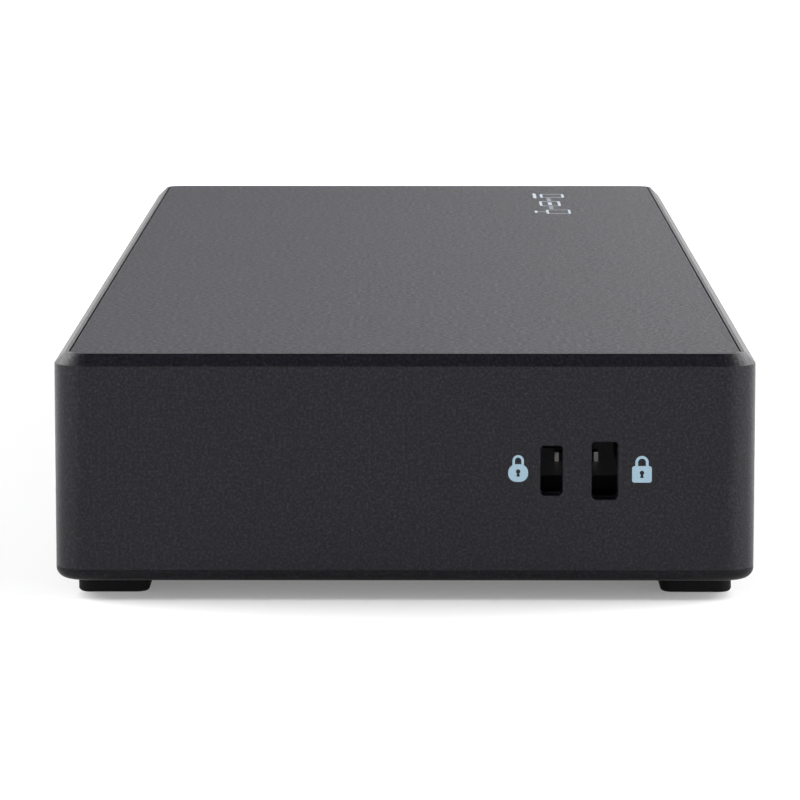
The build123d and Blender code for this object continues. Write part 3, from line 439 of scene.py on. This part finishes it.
def add_block(bm, low, high):
    """A box between two corners."""
    verts = bmesh.ops.create_cube(bm, size=1.0)["verts"]
    middle = [(a + b) / 2 for a, b in zip(low, high)]
    size = [b - a for a, b in zip(low, high)]
    bmesh.ops.scale(bm, vec=size, verts=verts)
    bmesh.ops.translate(bm, vec=middle, verts=verts)


def add_strip(bm, profile, left, right, thickness):
    """Bent sheet metal: a profile of (up, out) points, given a width and a thickness."""
    rings = []
    for index, (up, out) in enumerate(profile):
        before = profile[max(index - 1, 0)]
        after = profile[min(index + 1, len(profile) - 1)]
        along = Vector((after[0] - before[0], after[1] - before[1])).normalized()
        off_up, off_out = -along.y * thickness / 2, along.x * thickness / 2
        corners = ((left, 1), (right, 1), (right, -1), (left, -1))
        rings.append(
            [bm.verts.new((x, up + sign * off_up, out + sign * off_out)) for x, sign in corners]
        )
    for ring, following in zip(rings, rings[1:]):
        for corner in range(4):
            after = (corner + 1) % 4
            bm.faces.new((ring[corner], ring[after], following[after], following[corner]))
    bm.faces.new(rings[0])
    bm.faces.new(reversed(rings[-1]))


def add_tube(bm, path, radius, sides=10):
    """A round wire along a path of points, with flat ends."""
    rings = []
    for index, point in enumerate(path):
        before = path[max(index - 1, 0)]
        after = path[min(index + 1, len(path) - 1)]
        along = (after - before).normalized()
        across = along.orthogonal() if not rings else rings[-1][1]
        across = (across - along * across.dot(along)).normalized()
        up = along.cross(across)
        ring = []
        for side in range(sides):
            angle = 2 * math.pi * side / sides
            ring.append(
                bm.verts.new(point + (across * math.cos(angle) + up * math.sin(angle)) * radius)
            )
        rings.append((ring, across))
    for (ring, _), (following, _) in zip(rings, rings[1:]):
        for side in range(sides):
            after = (side + 1) % sides
            bm.faces.new((ring[side], ring[after], following[after], following[side]))
    bm.faces.new(rings[0][0])
    bm.faces.new(reversed(rings[-1][0]))


# ---------------------------------------------------------------- printed marks

# Marks are drawn in millimetres, about the point at which they are placed
INK_THICKNESS = 0.016
INK_STEP = 0.0006
CAP_STEPS = 8


def circle(x, y, radius, steps=40):
    """A circle as a closed outline."""
    return [
        (
            x + radius * math.cos(2 * math.pi * i / steps),
            y + radius * math.sin(2 * math.pi * i / steps),
        )
        for i in range(steps)
    ]


def rounded_box(x, y, box_width, box_height, radius, steps=CAP_STEPS):
    """A rectangle with round corners as a closed outline."""
    points = []
    corners = ((1, 1, 0), (-1, 1, 90), (-1, -1, 180), (1, -1, 270))
    for sign_x, sign_y, start in corners:
        centre_x = x + sign_x * (box_width / 2 - radius)
        centre_y = y + sign_y * (box_height / 2 - radius)
        for i in range(steps + 1):
            angle = math.radians(start + 90 * i / steps)
            points.append(
                (centre_x + radius * math.cos(angle), centre_y + radius * math.sin(angle))
            )
    return points


def stroke(x0, y0, x1, y1, line, steps=CAP_STEPS):
    """A straight line with round ends as a closed outline."""
    heading = math.atan2(y1 - y0, x1 - x0)
    points = []
    for x, y, start in ((x1, y1, heading - math.pi / 2), (x0, y0, heading + math.pi / 2)):
        for i in range(steps + 1):
            angle = start + math.pi * i / steps
            points.append((x + line / 2 * math.cos(angle), y + line / 2 * math.sin(angle)))
    return points


def arc_stroke(x, y, radius, line, start, end, steps=28):
    """A round-ended arc, from one angle to another in degrees, as a closed outline."""
    points = []
    a0, a1 = math.radians(start), math.radians(end)
    for i in range(steps + 1):
        angle = a0 + (a1 - a0) * i / steps
        reach = radius + line / 2
        points.append((x + reach * math.cos(angle), y + reach * math.sin(angle)))
    end_x, end_y = x + radius * math.cos(a1), y + radius * math.sin(a1)
    for i in range(1, CAP_STEPS):
        angle = a1 + math.pi * i / CAP_STEPS
        points.append((end_x + line / 2 * math.cos(angle), end_y + line / 2 * math.sin(angle)))
    for i in range(steps + 1):
        angle = a1 + (a0 - a1) * i / steps
        reach = radius - line / 2
        points.append((x + reach * math.cos(angle), y + reach * math.sin(angle)))
    start_x, start_y = x + radius * math.cos(a0), y + radius * math.sin(a0)
    for i in range(1, CAP_STEPS):
        angle = a0 + math.pi + math.pi * i / CAP_STEPS
        points.append((start_x + line / 2 * math.cos(angle), start_y + line / 2 * math.sin(angle)))
    return points


def frame_of(x, y, box_width, box_height, line, radius):
    """A rounded frame: an outer outline and the hole inside it."""
    return [
        rounded_box(x, y, box_width, box_height, radius),
        rounded_box(x, y, box_width - 2 * line, box_height - 2 * line, max(radius - line, 0.02)),
    ]


def ink_mark(name, shapes, matrix, slot="marking_ink", body="dock"):
    """Thin printed shapes. Each is a list of outlines, of which the later ones are holes."""
    bm = bmesh.new()
    for number, outlines in enumerate(shapes):
        curve = bpy.data.curves.new("outline", "CURVE")
        curve.dimensions = "2D"
        curve.fill_mode = "BOTH"
        curve.extrude = INK_THICKNESS / 2
        for points in outlines:
            spline = curve.splines.new("POLY")
            spline.points.add(len(points) - 1)
            for target, (x, y) in zip(spline.points, points):
                target.co = (x, y, 0, 1)
            spline.use_cyclic_u = True
        drawn = bpy.data.objects.new("outline", curve)
        flat = bpy.data.meshes.new_from_object(drawn)
        # Each shape stands a hair above the last, so that shapes which cross don't share a face
        flat.transform(Matrix.Translation((0, 0, INK_STEP * number)))
        bm.from_mesh(flat)
        bpy.data.objects.remove(drawn)
        bpy.data.curves.remove(curve)
        bpy.data.meshes.remove(flat)
    bmesh.ops.remove_doubles(bm, verts=bm.verts, dist=0.0001)
    return add_piece(name, bm, matrix, slot, body)


def power_symbol(size):
    """A broken ring with a bar in its gap."""
    line = 0.13 * size
    ring = arc_stroke(0, 0, 0.40 * size, line, 125, 415)
    return [[ring], [stroke(0, 0.12 * size, 0, 0.52 * size, line)]]


def headset_symbol(size):
    """A head band over two ear cups."""
    cup = 0.22 * size
    shapes = [[arc_stroke(0, 0, 0.38 * size, 0.1 * size, 0, 180)]]
    for sign in (-1, 1):
        shapes.append([rounded_box(sign * 0.36 * size, -0.2 * size, cup, 0.4 * size, 0.08 * size)])
    return shapes


def card_symbol(size):
    """A memory card with one cut corner and three contacts."""
    half, tall = 0.34 * size, 0.46 * size
    cut, line = 0.24 * size, 0.09 * size
    outer = [(-half, -tall), (half, -tall), (half, tall), (-half + cut, tall), (-half, tall - cut)]
    inner_cut = cut - 0.3 * line
    inner = [
        (-half + line, -tall + line),
        (half - line, -tall + line),
        (half - line, tall - line),
        (-half + line + inner_cut, tall - line),
        (-half + line, tall - line - inner_cut),
    ]
    shapes = [[outer, inner]]
    for place in (-0.02, 0.1, 0.22):
        x = place * size - 0.02 * size
        shapes.append([stroke(x, 0.16 * size, x, 0.27 * size, 0.06 * size)])
    return shapes


def plug_symbol(size):
    """A cable plug: a hood, a narrower nose, and its tail."""
    nose = frame_of(0, 0.33 * size, 0.40 * size, 0.30 * size, 0.08 * size, 0.05 * size)
    return [
        nose,
        [rounded_box(0, -0.04 * size, 0.60 * size, 0.48 * size, 0.12 * size)],
        [stroke(0, -0.28 * size, 0, -0.47 * size, 0.12 * size)],
    ]


def laptop_symbol(size):
    """An open laptop seen from the front."""
    screen = frame_of(0, 0.12 * size, 0.80 * size, 0.52 * size, 0.055 * size, 0.07 * size)
    return [screen, [stroke(-0.52 * size, -0.26 * size, 0.52 * size, -0.26 * size, 0.07 * size)]]


def monitor_symbol(size):
    """A monitor on its stand."""
    screen = frame_of(0, 0.14 * size, 0.92 * size, 0.56 * size, 0.055 * size, 0.06 * size)
    return [
        screen,
        [stroke(0, -0.16 * size, 0, -0.36 * size, 0.06 * size)],
        [stroke(-0.22 * size, -0.38 * size, 0.22 * size, -0.38 * size, 0.06 * size)],
    ]


def direct_current_symbol(size):
    """A line over three dashes."""
    line = 0.1 * size
    shapes = [[stroke(-0.45 * size, 0.12 * size, 0.45 * size, 0.12 * size, line)]]
    for place in (-0.34, 0.0, 0.34):
        x = place * size
        shapes.append([stroke(x - 0.1 * size, -0.14 * size, x + 0.1 * size, -0.14 * size, line)])
    return shapes


def network_symbol(size):
    """One box over two, joined by lines."""
    box_size, line = 0.26 * size, 0.07 * size
    shapes = [[rounded_box(0, 0.32 * size, box_size, box_size, 0.04 * size)]]
    for sign in (-1, 1):
        x = sign * 0.34 * size
        shapes.append([rounded_box(x, -0.32 * size, box_size, box_size, 0.04 * size)])
        shapes.append([stroke(x, 0.0, x, -0.2 * size, line)])
    shapes.append([stroke(0, 0.2 * size, 0, 0.0, line)])
    shapes.append([stroke(-0.34 * size, 0, 0.34 * size, 0, line)])
    return shapes


def keyhole(y, radius, steps=20):
    """A round hole that flares into a short slot below it, as a closed outline."""
    points = []
    for i in range(steps + 1):
        angle = math.radians(-60 + 300 * i / steps)
        points.append((radius * math.cos(angle), y + radius * math.sin(angle)))
    foot_y = y - 2.3 * radius
    return points + [(-0.8 * radius, foot_y), (0.8 * radius, foot_y)]


def padlock(body_width, body_height, body_radius, shackle_radius, line, total_height):
    """A padlock centred on its own height: a shackle over a body with a keyhole."""
    base = -total_height / 2
    body_y = base + body_height / 2
    arc_y = total_height / 2 - line / 2 - shackle_radius
    keyhole_rise, keyhole_radius, leg_overlap = 0.18, 0.27, 0.25
    body = rounded_box(0, body_y, body_width, body_height, body_radius)
    shapes = [[body, keyhole(body_y + keyhole_rise, keyhole_radius)]]
    shapes.append([arc_stroke(0, arc_y, shackle_radius, line, 0, 180)])
    for sign in (-1, 1):
        x = sign * shackle_radius
        shapes.append([stroke(x, arc_y, x, base + body_height - leg_overlap, line)])
    return shapes


def moved(shapes, x, y):
    """The same shapes in another place."""
    return [[[(px + x, py + y) for px, py in outline] for outline in shape] for shape in shapes]


def end_wall_place(y, z):
    """A place on the +X end wall, at the model's own Y and Z in millimetres."""
    return placed((cad_high.x, y * MM, z * MM), (0, 1, 0), (0, 0, 1))


def make_lock_marks():
    """A round padlock beside the nano slot, and a square one beside the standard slot."""
    round_lock = padlock(
        body_width=2.40,
        body_height=2.16,
        body_radius=1.0,
        shackle_radius=0.54,
        line=0.30,
        total_height=3.27,
    )
    square_lock = padlock(
        body_width=2.38,
        body_height=2.02,
        body_radius=0.3,
        shackle_radius=0.64,
        line=0.33,
        total_height=3.26,
    )
    ink_mark("lock_mark_nano", round_lock, end_wall_place(13.68, 16.20))
    ink_mark("lock_mark_standard", square_lock, end_wall_place(28.62, 16.11))


def make_top_mark():
    """A generic line of symbols on the top plate: laptop, dock and monitor, joined by dots."""
    half_length = 13.6
    first_dot, dot_pitch, dot_radius = 5.4, 1.6, 0.38
    from_left_end, from_rear_edge = 31.5 * MM, 17.4 * MM
    shapes = moved(laptop_symbol(7.6), -half_length, -0.2)
    shapes += moved(monitor_symbol(6.9), half_length, 0.0)
    dock_outline = frame_of(0, 0, 8.2, 3.4, 0.42, 0.9)
    dock_slot = rounded_box(0, 0, 4.6, 0.6, 0.25)
    shapes += [dock_outline, [dock_slot]]
    for sign in (-1, 1):
        for step in range(3):
            shapes.append([circle(sign * (first_dot + dot_pitch * step), 0, dot_radius, 20)])
    low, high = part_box("top_plate")
    middle = (low.x + from_left_end, high.y - from_rear_edge, high.z)
    dress(ink_mark("top_mark", shapes, placed(middle, (1, 0, 0), (0, 1, 0))), "top_ink")


def centre_x(node):
    """The middle of a node's box along the length."""
    low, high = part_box(node)
    return (low.x + high.x) / 2


def make_port_marks():
    """Generic symbols on the two port panels, and the power symbol on its button."""
    front, rear = -1, 1
    face_y = {front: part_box("front_panel")[0].y, rear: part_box("rear_panel")[1].y}
    row_z = 22.7 * MM
    inlet_gap, jack_gap = 7.5 * MM, 4.6 * MM
    size, large = 3.0, 3.6
    marks = [
        ("audio_mark", headset_symbol(size), front, centre_x("audio_jack_bushing"), row_z),
        ("card_mark", card_symbol(size), front, centre_x("card_socket_cover"), row_z),
        ("front_usb_mark", plug_symbol(size), front, centre_x("front_usb_a_shell"), row_z),
        ("host_mark", laptop_symbol(large), front, centre_x("host_usb_c_shell"), row_z),
    ]
    for number in (1, 2, 3):
        usb_c_x = centre_x(f"rear_usb_c_{number}_shell")
        usb_a_x = centre_x(f"rear_usb_a_{number}_shell")
        display = monitor_symbol(1.1 * size)
        marks.append((f"rear_display_mark_{number}", display, rear, usb_c_x, row_z))
        marks.append((f"rear_usb_mark_{number}", plug_symbol(size), rear, usb_a_x, row_z))
    inlet_low, inlet_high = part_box("dc_inlet_pin")
    inlet_z = (inlet_low.z + inlet_high.z) / 2
    inlet_x = inlet_low.x - inlet_gap
    marks.append(("power_inlet_mark", direct_current_symbol(large), rear, inlet_x, inlet_z))
    jack_low, jack_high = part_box("ethernet_jack_shield")
    jack_z = (jack_low.z + jack_high.z) / 2
    jack_x = jack_high.x + jack_gap
    marks.append(("network_mark", network_symbol(large), rear, jack_x, jack_z))
    for name, shapes, side, x, z in marks:
        ink_mark(name, shapes, placed((x, face_y[side], z), (-side, 0, 0), (0, 0, 1)))
    low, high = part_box("power_button")
    middle = ((low.x + high.x) / 2, low.y, (low.z + high.z) / 2)
    button_place = placed(middle, (1, 0, 0), (0, 0, 1))
    ink_mark("power_mark", power_symbol(3.4), button_place, body="power_key")


def make_label_print():
    """The blank rating label's printed frame, ruled lines and two empty boxes."""
    low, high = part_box("rating_label")
    across, tall = (high.x - low.x) / MM, (high.y - low.y) / MM
    margin, line = 3, 0.25
    row_count, row_pitch, first_row, row_start, row_end = 5, 4.2, 6, 4, 24
    box_size, box_inset, box_offset = 10.5, 11, 6.4
    shapes = [frame_of(0, 0, across - margin, tall - margin, 0.3, 1.2)]
    for row in range(row_count):
        y = tall / 2 - first_row - row_pitch * row
        shapes.append([stroke(-across / 2 + row_start, y, across / 2 - row_end, y, line)])
    for sign in (-1, 1):
        x = across / 2 - box_inset
        shapes.append(frame_of(x, sign * box_offset, box_size, box_size, line, 0.8))
    middle = ((low.x + high.x) / 2, (low.y + high.y) / 2, low.z)
    ink_mark("label_print", shapes, placed(middle, (1, 0, 0), (0, -1, 0)))


# ---------------------------------------------------------------- contacts and springs

# Drawn in millimetres from the middle of a mouth or the front edge of a socket. A strip's profile
# has (up, out) points, and out is below zero inside a port.


def bowed(bow, share, up, start, reach, steps):
    """A bowed strip's profile: a share of half a sine wave, drawn as that many straight steps.

    It starts at (up, start) and ends `reach` further out, and `bow` is the wave's height.
    """
    profile = []
    for step in range(steps + 1):
        t = step / steps
        profile.append((up + bow * math.sin(share * math.pi * t), start + reach * t))
    return profile


def make_usb_a_details(port):
    """Four gold blades under the tongue, and four grip springs bowed into the mouth."""
    place = port_place(f"{port}_shell", mid_below_top=2.85)
    blade_half, blade_thickness = 0.5, 0.13
    blade = [(0.16, -1.2), (0.03, -1.35), (-0.02, -1.6), (-0.04, -2.0), (-0.04, -9.5)]
    blades = bmesh.new()
    for x in (-3.5, -1.0, 1.0, 3.5):
        add_strip(blades, blade, x - blade_half, x + blade_half, blade_thickness)
    add_piece(f"{port}_blades", blades, place, "contact_metal")

    spring_half, spring_thickness = 0.85, 0.24
    springs = bmesh.new()
    for sign in (-1, 1):
        wall_y = sign * 2.70
        spring = bowed(bow=-sign * 0.60, share=0.85, up=wall_y, start=-3.5, reach=-4.7, steps=12)
        for x in (-3.3, 3.3):
            add_strip(springs, spring, x - spring_half, x + spring_half, spring_thickness)
    add_piece(f"{port}_grip_springs", springs, place, "port_steel", smooth=True)


def make_usb_c_details(port):
    """Twelve gold contacts on each side of the tongue, of which the power ones are longer."""
    place = port_place(f"{port}_shell", mid_below_top=1.6)
    count, pitch, half = 12, 0.5, 0.13
    root, long_tip, short_tip = -4.7, -1.30, -1.62
    power_contacts = (0, 3, 8, 11)
    bm = bmesh.new()
    for sign in (-1, 1):
        bottom, top = sorted((sign * 0.33, sign * 0.395))
        for i in range(count):
            x = (i - (count - 1) / 2) * pitch
            tip = long_tip if i in power_contacts else short_tip
            add_block(bm, (x - half, bottom, root), (x + half, top, tip))
    add_piece(f"{port}_contacts", bm, place, "contact_metal")


def make_audio_contacts():
    """Three gold leaves that press on the plug inside the audio jack's bore."""
    place = port_place("audio_jack_bushing")
    half, thickness = 0.45, 0.14
    bm = bmesh.new()
    for number, depth in enumerate((3.4, 6.2, 9.0)):
        before = set(bm.verts)
        profile = bowed(bow=-0.42, share=1.0, up=1.78, start=-depth, reach=-2.2, steps=8)
        add_strip(bm, profile, -half, half, thickness)
        leaf = [vert for vert in bm.verts if vert not in before]
        turn = Matrix.Rotation(math.radians(120 * number), 3, "Z")
        bmesh.ops.rotate(bm, verts=leaf, cent=(0, 0, 0), matrix=turn)
    add_piece("audio_contact_leaves", bm, place, "contact_metal", smooth=True)


def make_card_contacts():
    """Nine gold fingers that rise from the card socket's floor towards the card."""
    low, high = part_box("card_socket_tray")
    slot_shift = -1.1 * MM
    floor_z = high.z - 2.4 * MM
    place = placed(((low.x + high.x) / 2 + slot_shift, low.y, floor_z), (1, 0, 0), (0, 0, 1))
    count, pitch, half, thickness = 9, 2.4, 0.45, 0.15
    finger = bowed(bow=0.75, share=0.8, up=0.04, start=-26.5, reach=7.5, steps=10)
    bm = bmesh.new()
    for i in range(count):
        x = (i - (count - 1) / 2) * pitch
        add_strip(bm, finger, x - half, x + half, thickness)
    add_piece("card_contact_fingers", bm, place, "contact_metal", smooth=True)


def make_slider_spring():
    """The card slider's return spring as a coil with closed ends."""
    low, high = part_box("card_slider_spring")
    coil_length = (high.y - low.y) / MM
    wire_radius, coil_radius = 0.11, 0.58
    turns, end_turns, steps = 8, 1.0, 24
    open_pitch = (coil_length - 4 * wire_radius) / (turns - 2 * end_turns)
    path = []
    for i in range(turns * steps + 1):
        turn = i / steps
        closed = min(turn, end_turns) + max(turn - (turns - end_turns), 0)
        opened = min(max(turn - end_turns, 0), turns - 2 * end_turns)
        along = wire_radius + closed * wire_radius + opened * (open_pitch - wire_radius / 3)
        angle = 2 * math.pi * turn
        path.append(Vector((coil_radius * math.cos(angle), coil_radius * math.sin(angle), along)))
    # The last turn has to end against the far seat, so any overrun is taken out along the coil
    overrun = path[-1].z - (coil_length - wire_radius)
    for index, point in enumerate(path):
        point.z -= overrun * index / (len(path) - 1)
    bm = bmesh.new()
    add_tube(bm, path, wire_radius)
    middle = ((low.x + high.x) / 2, low.y, (low.z + high.z) / 2)
    place = placed(middle, (-1, 0, 0), (0, 0, 1))
    coil = add_piece("card_slider_coil", bm, place, "spring_steel", smooth=True)
    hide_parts("card_slider_spring")
    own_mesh(coil)


# ---------------------------------------------------------------- board components


def solid_boxes(node):
    """The box of each separate solid of a node that holds several, in millimetres."""
    mesh = nodes[node].data
    reach = 0.05
    boxes = []
    for polygon in mesh.polygons:
        corners = [mesh.vertices[i].co / MM for i in polygon.vertices]
        low = [min(c[axis] for c in corners) - reach for axis in range(3)]
        high = [max(c[axis] for c in corners) + reach for axis in range(3)]
        joined = []
        for box in boxes:
            if all(box[0][a] <= high[a] and low[a] <= box[1][a] for a in range(3)):
                low = [min(low[a], box[0][a]) for a in range(3)]
                high = [max(high[a], box[1][a]) for a in range(3)]
            else:
                joined.append(box)
        boxes = joined + [(low, high)]
    return boxes


def make_can_marks():
    """The black polarity segment on top of each can capacitor."""
    start, sweep, steps, radius = 125, 110, 16, 2.6
    shapes = []
    for low, high in solid_boxes("can_capacitors"):
        x, y = (low[0] + high[0]) / 2, (low[1] + high[1]) / 2
        segment = []
        for i in range(steps + 1):
            angle = math.radians(start + sweep * i / steps)
            segment.append((x + radius * math.cos(angle), y + radius * math.sin(angle)))
        shapes.append([segment])
    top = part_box("can_capacitors")[1].z
    place = placed((0, 0, top), (1, 0, 0), (0, 1, 0))
    ink_mark("can_polarity_marks", shapes, place, slot="chip_resin")


# Clear patches of the board's top, as (low X, low Y, high X, high Y) in millimetres
BOARD_PATCHES = [
    (6, 20.5, 55, 26.5),
    (-20, 20.5, -5, 26.5),
    (24, -25, 44, -14),
    (70, -32, 88, -17),
    (-74, -24, -50, -12),
    (-60, -4, -59, 8),
    (62, -8, 74, 4),
]

# Chip parts' length, width and height in millimetres
CHIP_SIZES = ((1.0, 0.5, 0.4), (1.6, 0.8, 0.6), (2.0, 1.2, 0.8))


def add_chip(bodies, ends, x, y, base, size, upright):
    """One chip part: a body, and two tinned ends that stand a little proud of it."""
    long, wide, tall = size
    half_x, half_y = (wide / 2, long / 2) if upright else (long / 2, wide / 2)
    end, proud, step_down = 0.22 * long, 0.02, 0.03
    top = base + tall
    add_block(bodies, (x - half_x, y - half_y, base), (x + half_x, y + half_y, top - step_down))
    for sign in (-1, 1):
        if upright:
            near, far = sorted((y + sign * half_y, y + sign * (half_y - end)))
            add_block(ends, (x - half_x - proud, near, base), (x + half_x + proud, far, top))
        else:
            near, far = sorted((x + sign * half_x, x + sign * (half_x - end)))
            add_block(ends, (near, y - half_y - proud, base), (far, y + half_y + proud, top))


def make_small_parts():
    """Rows of chip resistors and capacitors, with gaps here and there."""
    rng = random.Random(11)
    pitch_x, pitch_y, scatter, fill = 2.6, 2.5, 0.8, 0.62
    board_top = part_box("main_board")[1].z / MM
    bodies, ends = bmesh.new(), bmesh.new()
    for low_x, low_y, high_x, high_y in BOARD_PATCHES:
        y = low_y
        while y < high_y:
            x = low_x + rng.uniform(0, scatter)
            while x < high_x:
                if rng.random() < fill:
                    size = rng.choice(CHIP_SIZES)
                    upright = rng.random() < 0.5
                    add_chip(bodies, ends, x, y, board_top, size, upright)
                x += pitch_x
            y += pitch_y
    here = Matrix.Identity(4)
    add_piece("board_chip_bodies", bodies, here, "chip_resin")
    add_piece("board_chip_ends", ends, here, "solder_tin")


def make_solder_joints():
    """Solder domes on the board's underside, below the rows of connector pins."""
    board_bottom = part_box("main_board")[0].z / MM
    dome_radius, dome_flatness = 0.55, 0.8
    bm = bmesh.new()
    # Each row's X, Y, number of joints and pitch in millimetres
    rows = [(centre_x(f"rear_usb_a_{n}_shell") / MM, 28.2, 5, 2.2) for n in (1, 2, 3)]
    rows += [(centre_x(f"rear_usb_c_{n}_shell") / MM, 31.5, 6, 1.1) for n in (1, 2, 3)]
    rows += [(centre_x("ethernet_jack_shield") / MM, 24.0, 8, 1.3)]
    rows += [(centre_x("front_usb_a_shell") / MM, -28.2, 5, 2.2)]
    rows += [(centre_x("dc_inlet_body") / MM, 29.0, 3, 3.2)]
    for row_x, row_y, count, pitch in rows:
        for i in range(count):
            made = bmesh.ops.create_uvsphere(bm, u_segments=12, v_segments=8, radius=dome_radius)
            dome = made["verts"]
            bmesh.ops.scale(bm, vec=(1, 1, dome_flatness), verts=dome)
            x = row_x + (i - (count - 1) / 2) * pitch
            bmesh.ops.translate(bm, vec=(x, row_y, board_bottom), verts=dome)
    add_piece("board_solder_joints", bm, Matrix.Identity(4), "solder_tin", smooth=True)


make_lock_marks()
make_top_mark()
make_port_marks()
make_label_print()
for usb_a_port in ("front_usb_a", "rear_usb_a_1", "rear_usb_a_2", "rear_usb_a_3"):
    make_usb_a_details(usb_a_port)
for usb_c_port in ("host_usb_c", "rear_usb_c_1", "rear_usb_c_2", "rear_usb_c_3"):
    make_usb_c_details(usb_c_port)
make_audio_contacts()
make_card_contacts()
make_slider_spring()
make_can_marks()
make_small_parts()
make_solder_joints()


# ---------------------------------------------------------------- studio and camera


def make_camera():
    """A long lens, low in front of the +X end, looking slightly down along the length."""
    data = bpy.data.cameras.new("camera")
    data.lens = 197.7
    data.sensor_width = 36
    data.clip_start = 0.01
    data.clip_end = 50
    camera = bpy.data.objects.new("camera", data)
    bpy.context.scene.collection.objects.link(camera)
    pitch = math.radians(8.0075)
    yaw = math.radians(-0.231)
    forward = Vector(
        (-math.cos(yaw) * math.cos(pitch), math.sin(yaw) * math.cos(pitch), -math.sin(pitch))
    )
    camera.rotation_euler = forward.to_track_quat("-Z", "Y").to_euler()
    camera.location = (0.636356, 0.0015355, 0.0982304)
    bpy.context.scene.camera = camera


def make_floor():
    """A wide pale floor that glows a little, as a light table does, so shadows stay soft."""
    mesh = bpy.data.meshes.new("floor")
    half = 12.0
    corners = [(-half, -half, 0), (half, -half, 0), (half, half, 0), (-half, half, 0)]
    mesh.from_pydata(corners, [], [(0, 1, 2, 3)])
    shader = Shader("floor_white").set(Roughness=0.9, Specular_IOR_Level=0.2)
    shader.set(Base_Color=(0.80, 0.80, 0.80, 1), Emission_Color=(1, 1, 1, 1), Emission_Strength=0.2)
    mesh.materials.append(shader.material)
    floor = bpy.data.objects.new("floor", mesh)
    bpy.context.scene.collection.objects.link(floor)


def softbox(name, azimuth, elevation, distance, size, power, aim=(0, 0, 0.015)):
    """An area light aimed at the object, in degrees: azimuth 0 is the +X end, 90 is the rear."""
    data = bpy.data.lights.new(name, "AREA")
    data.shape = "RECTANGLE"
    data.size, data.size_y = size
    data.energy = power
    light = bpy.data.objects.new(name, data)
    bpy.context.scene.collection.objects.link(light)
    a, e = math.radians(azimuth), math.radians(elevation)
    offset = Vector((math.cos(a) * math.cos(e), math.sin(a) * math.cos(e), math.sin(e)))
    light.location = Vector(aim) + offset * distance
    light.rotation_euler = (-offset).to_track_quat("-Z", "Z").to_euler()


def make_world(horizon, overhead, slant):
    """A pale room, bright round the horizon, dim overhead, a little brighter on the rear side.

    The horizon and overhead values are strengths, and the slant is how much the strength gains
    towards the rear and loses towards the front.
    """
    fade_start, fade_end = 0.12, 0.50
    world = bpy.data.worlds.new("room")
    world.use_nodes = True
    tree = world.node_tree
    background = tree.nodes["Background"]
    background.inputs["Color"].default_value = (1, 1, 1, 1)
    direction = tree.nodes.new("ShaderNodeTexCoord")
    parts = tree.nodes.new("ShaderNodeSeparateXYZ")
    fade = tree.nodes.new("ShaderNodeMapRange")
    fade.interpolation_type = "SMOOTHSTEP"
    fade.inputs["From Min"].default_value = fade_start
    fade.inputs["From Max"].default_value = fade_end
    fade.inputs["To Min"].default_value = horizon
    fade.inputs["To Max"].default_value = overhead
    side = tree.nodes.new("ShaderNodeMapRange")
    side.inputs["From Min"].default_value = -1.0
    side.inputs["To Min"].default_value = 1.0 - slant
    side.inputs["To Max"].default_value = 1.0 + slant
    strength = tree.nodes.new("ShaderNodeMath")
    strength.operation = "MULTIPLY"
    tree.links.new(direction.outputs["Generated"], parts.inputs["Vector"])
    tree.links.new(parts.outputs["Z"], fade.inputs["Value"])
    tree.links.new(parts.outputs["Y"], side.inputs["Value"])
    tree.links.new(fade.outputs["Result"], strength.inputs[0])
    tree.links.new(side.outputs["Result"], strength.inputs[1])
    tree.links.new(strength.outputs["Value"], background.inputs["Strength"])
    bpy.context.scene.world = world
    bpy.context.scene.view_settings.view_transform = "Standard"


def make_lights():
    """Two low softboxes in front, two broad high ones a little behind the sides, and a room."""
    low_box, broad_box = (1.9, 0.46), (2.2, 0.9)
    softbox("left_low", azimuth=-62, elevation=9, distance=1.8, size=low_box, power=11)
    softbox("right_low", azimuth=66, elevation=9, distance=1.8, size=low_box, power=18)
    for name, azimuth in (("left_side", -109), ("right_side", 109)):
        softbox(name, azimuth, elevation=36, distance=2.0, size=broad_box, power=58)
    make_world(horizon=1.45, overhead=0.14, slant=0.25)


make_camera()
make_floor()
make_lights()
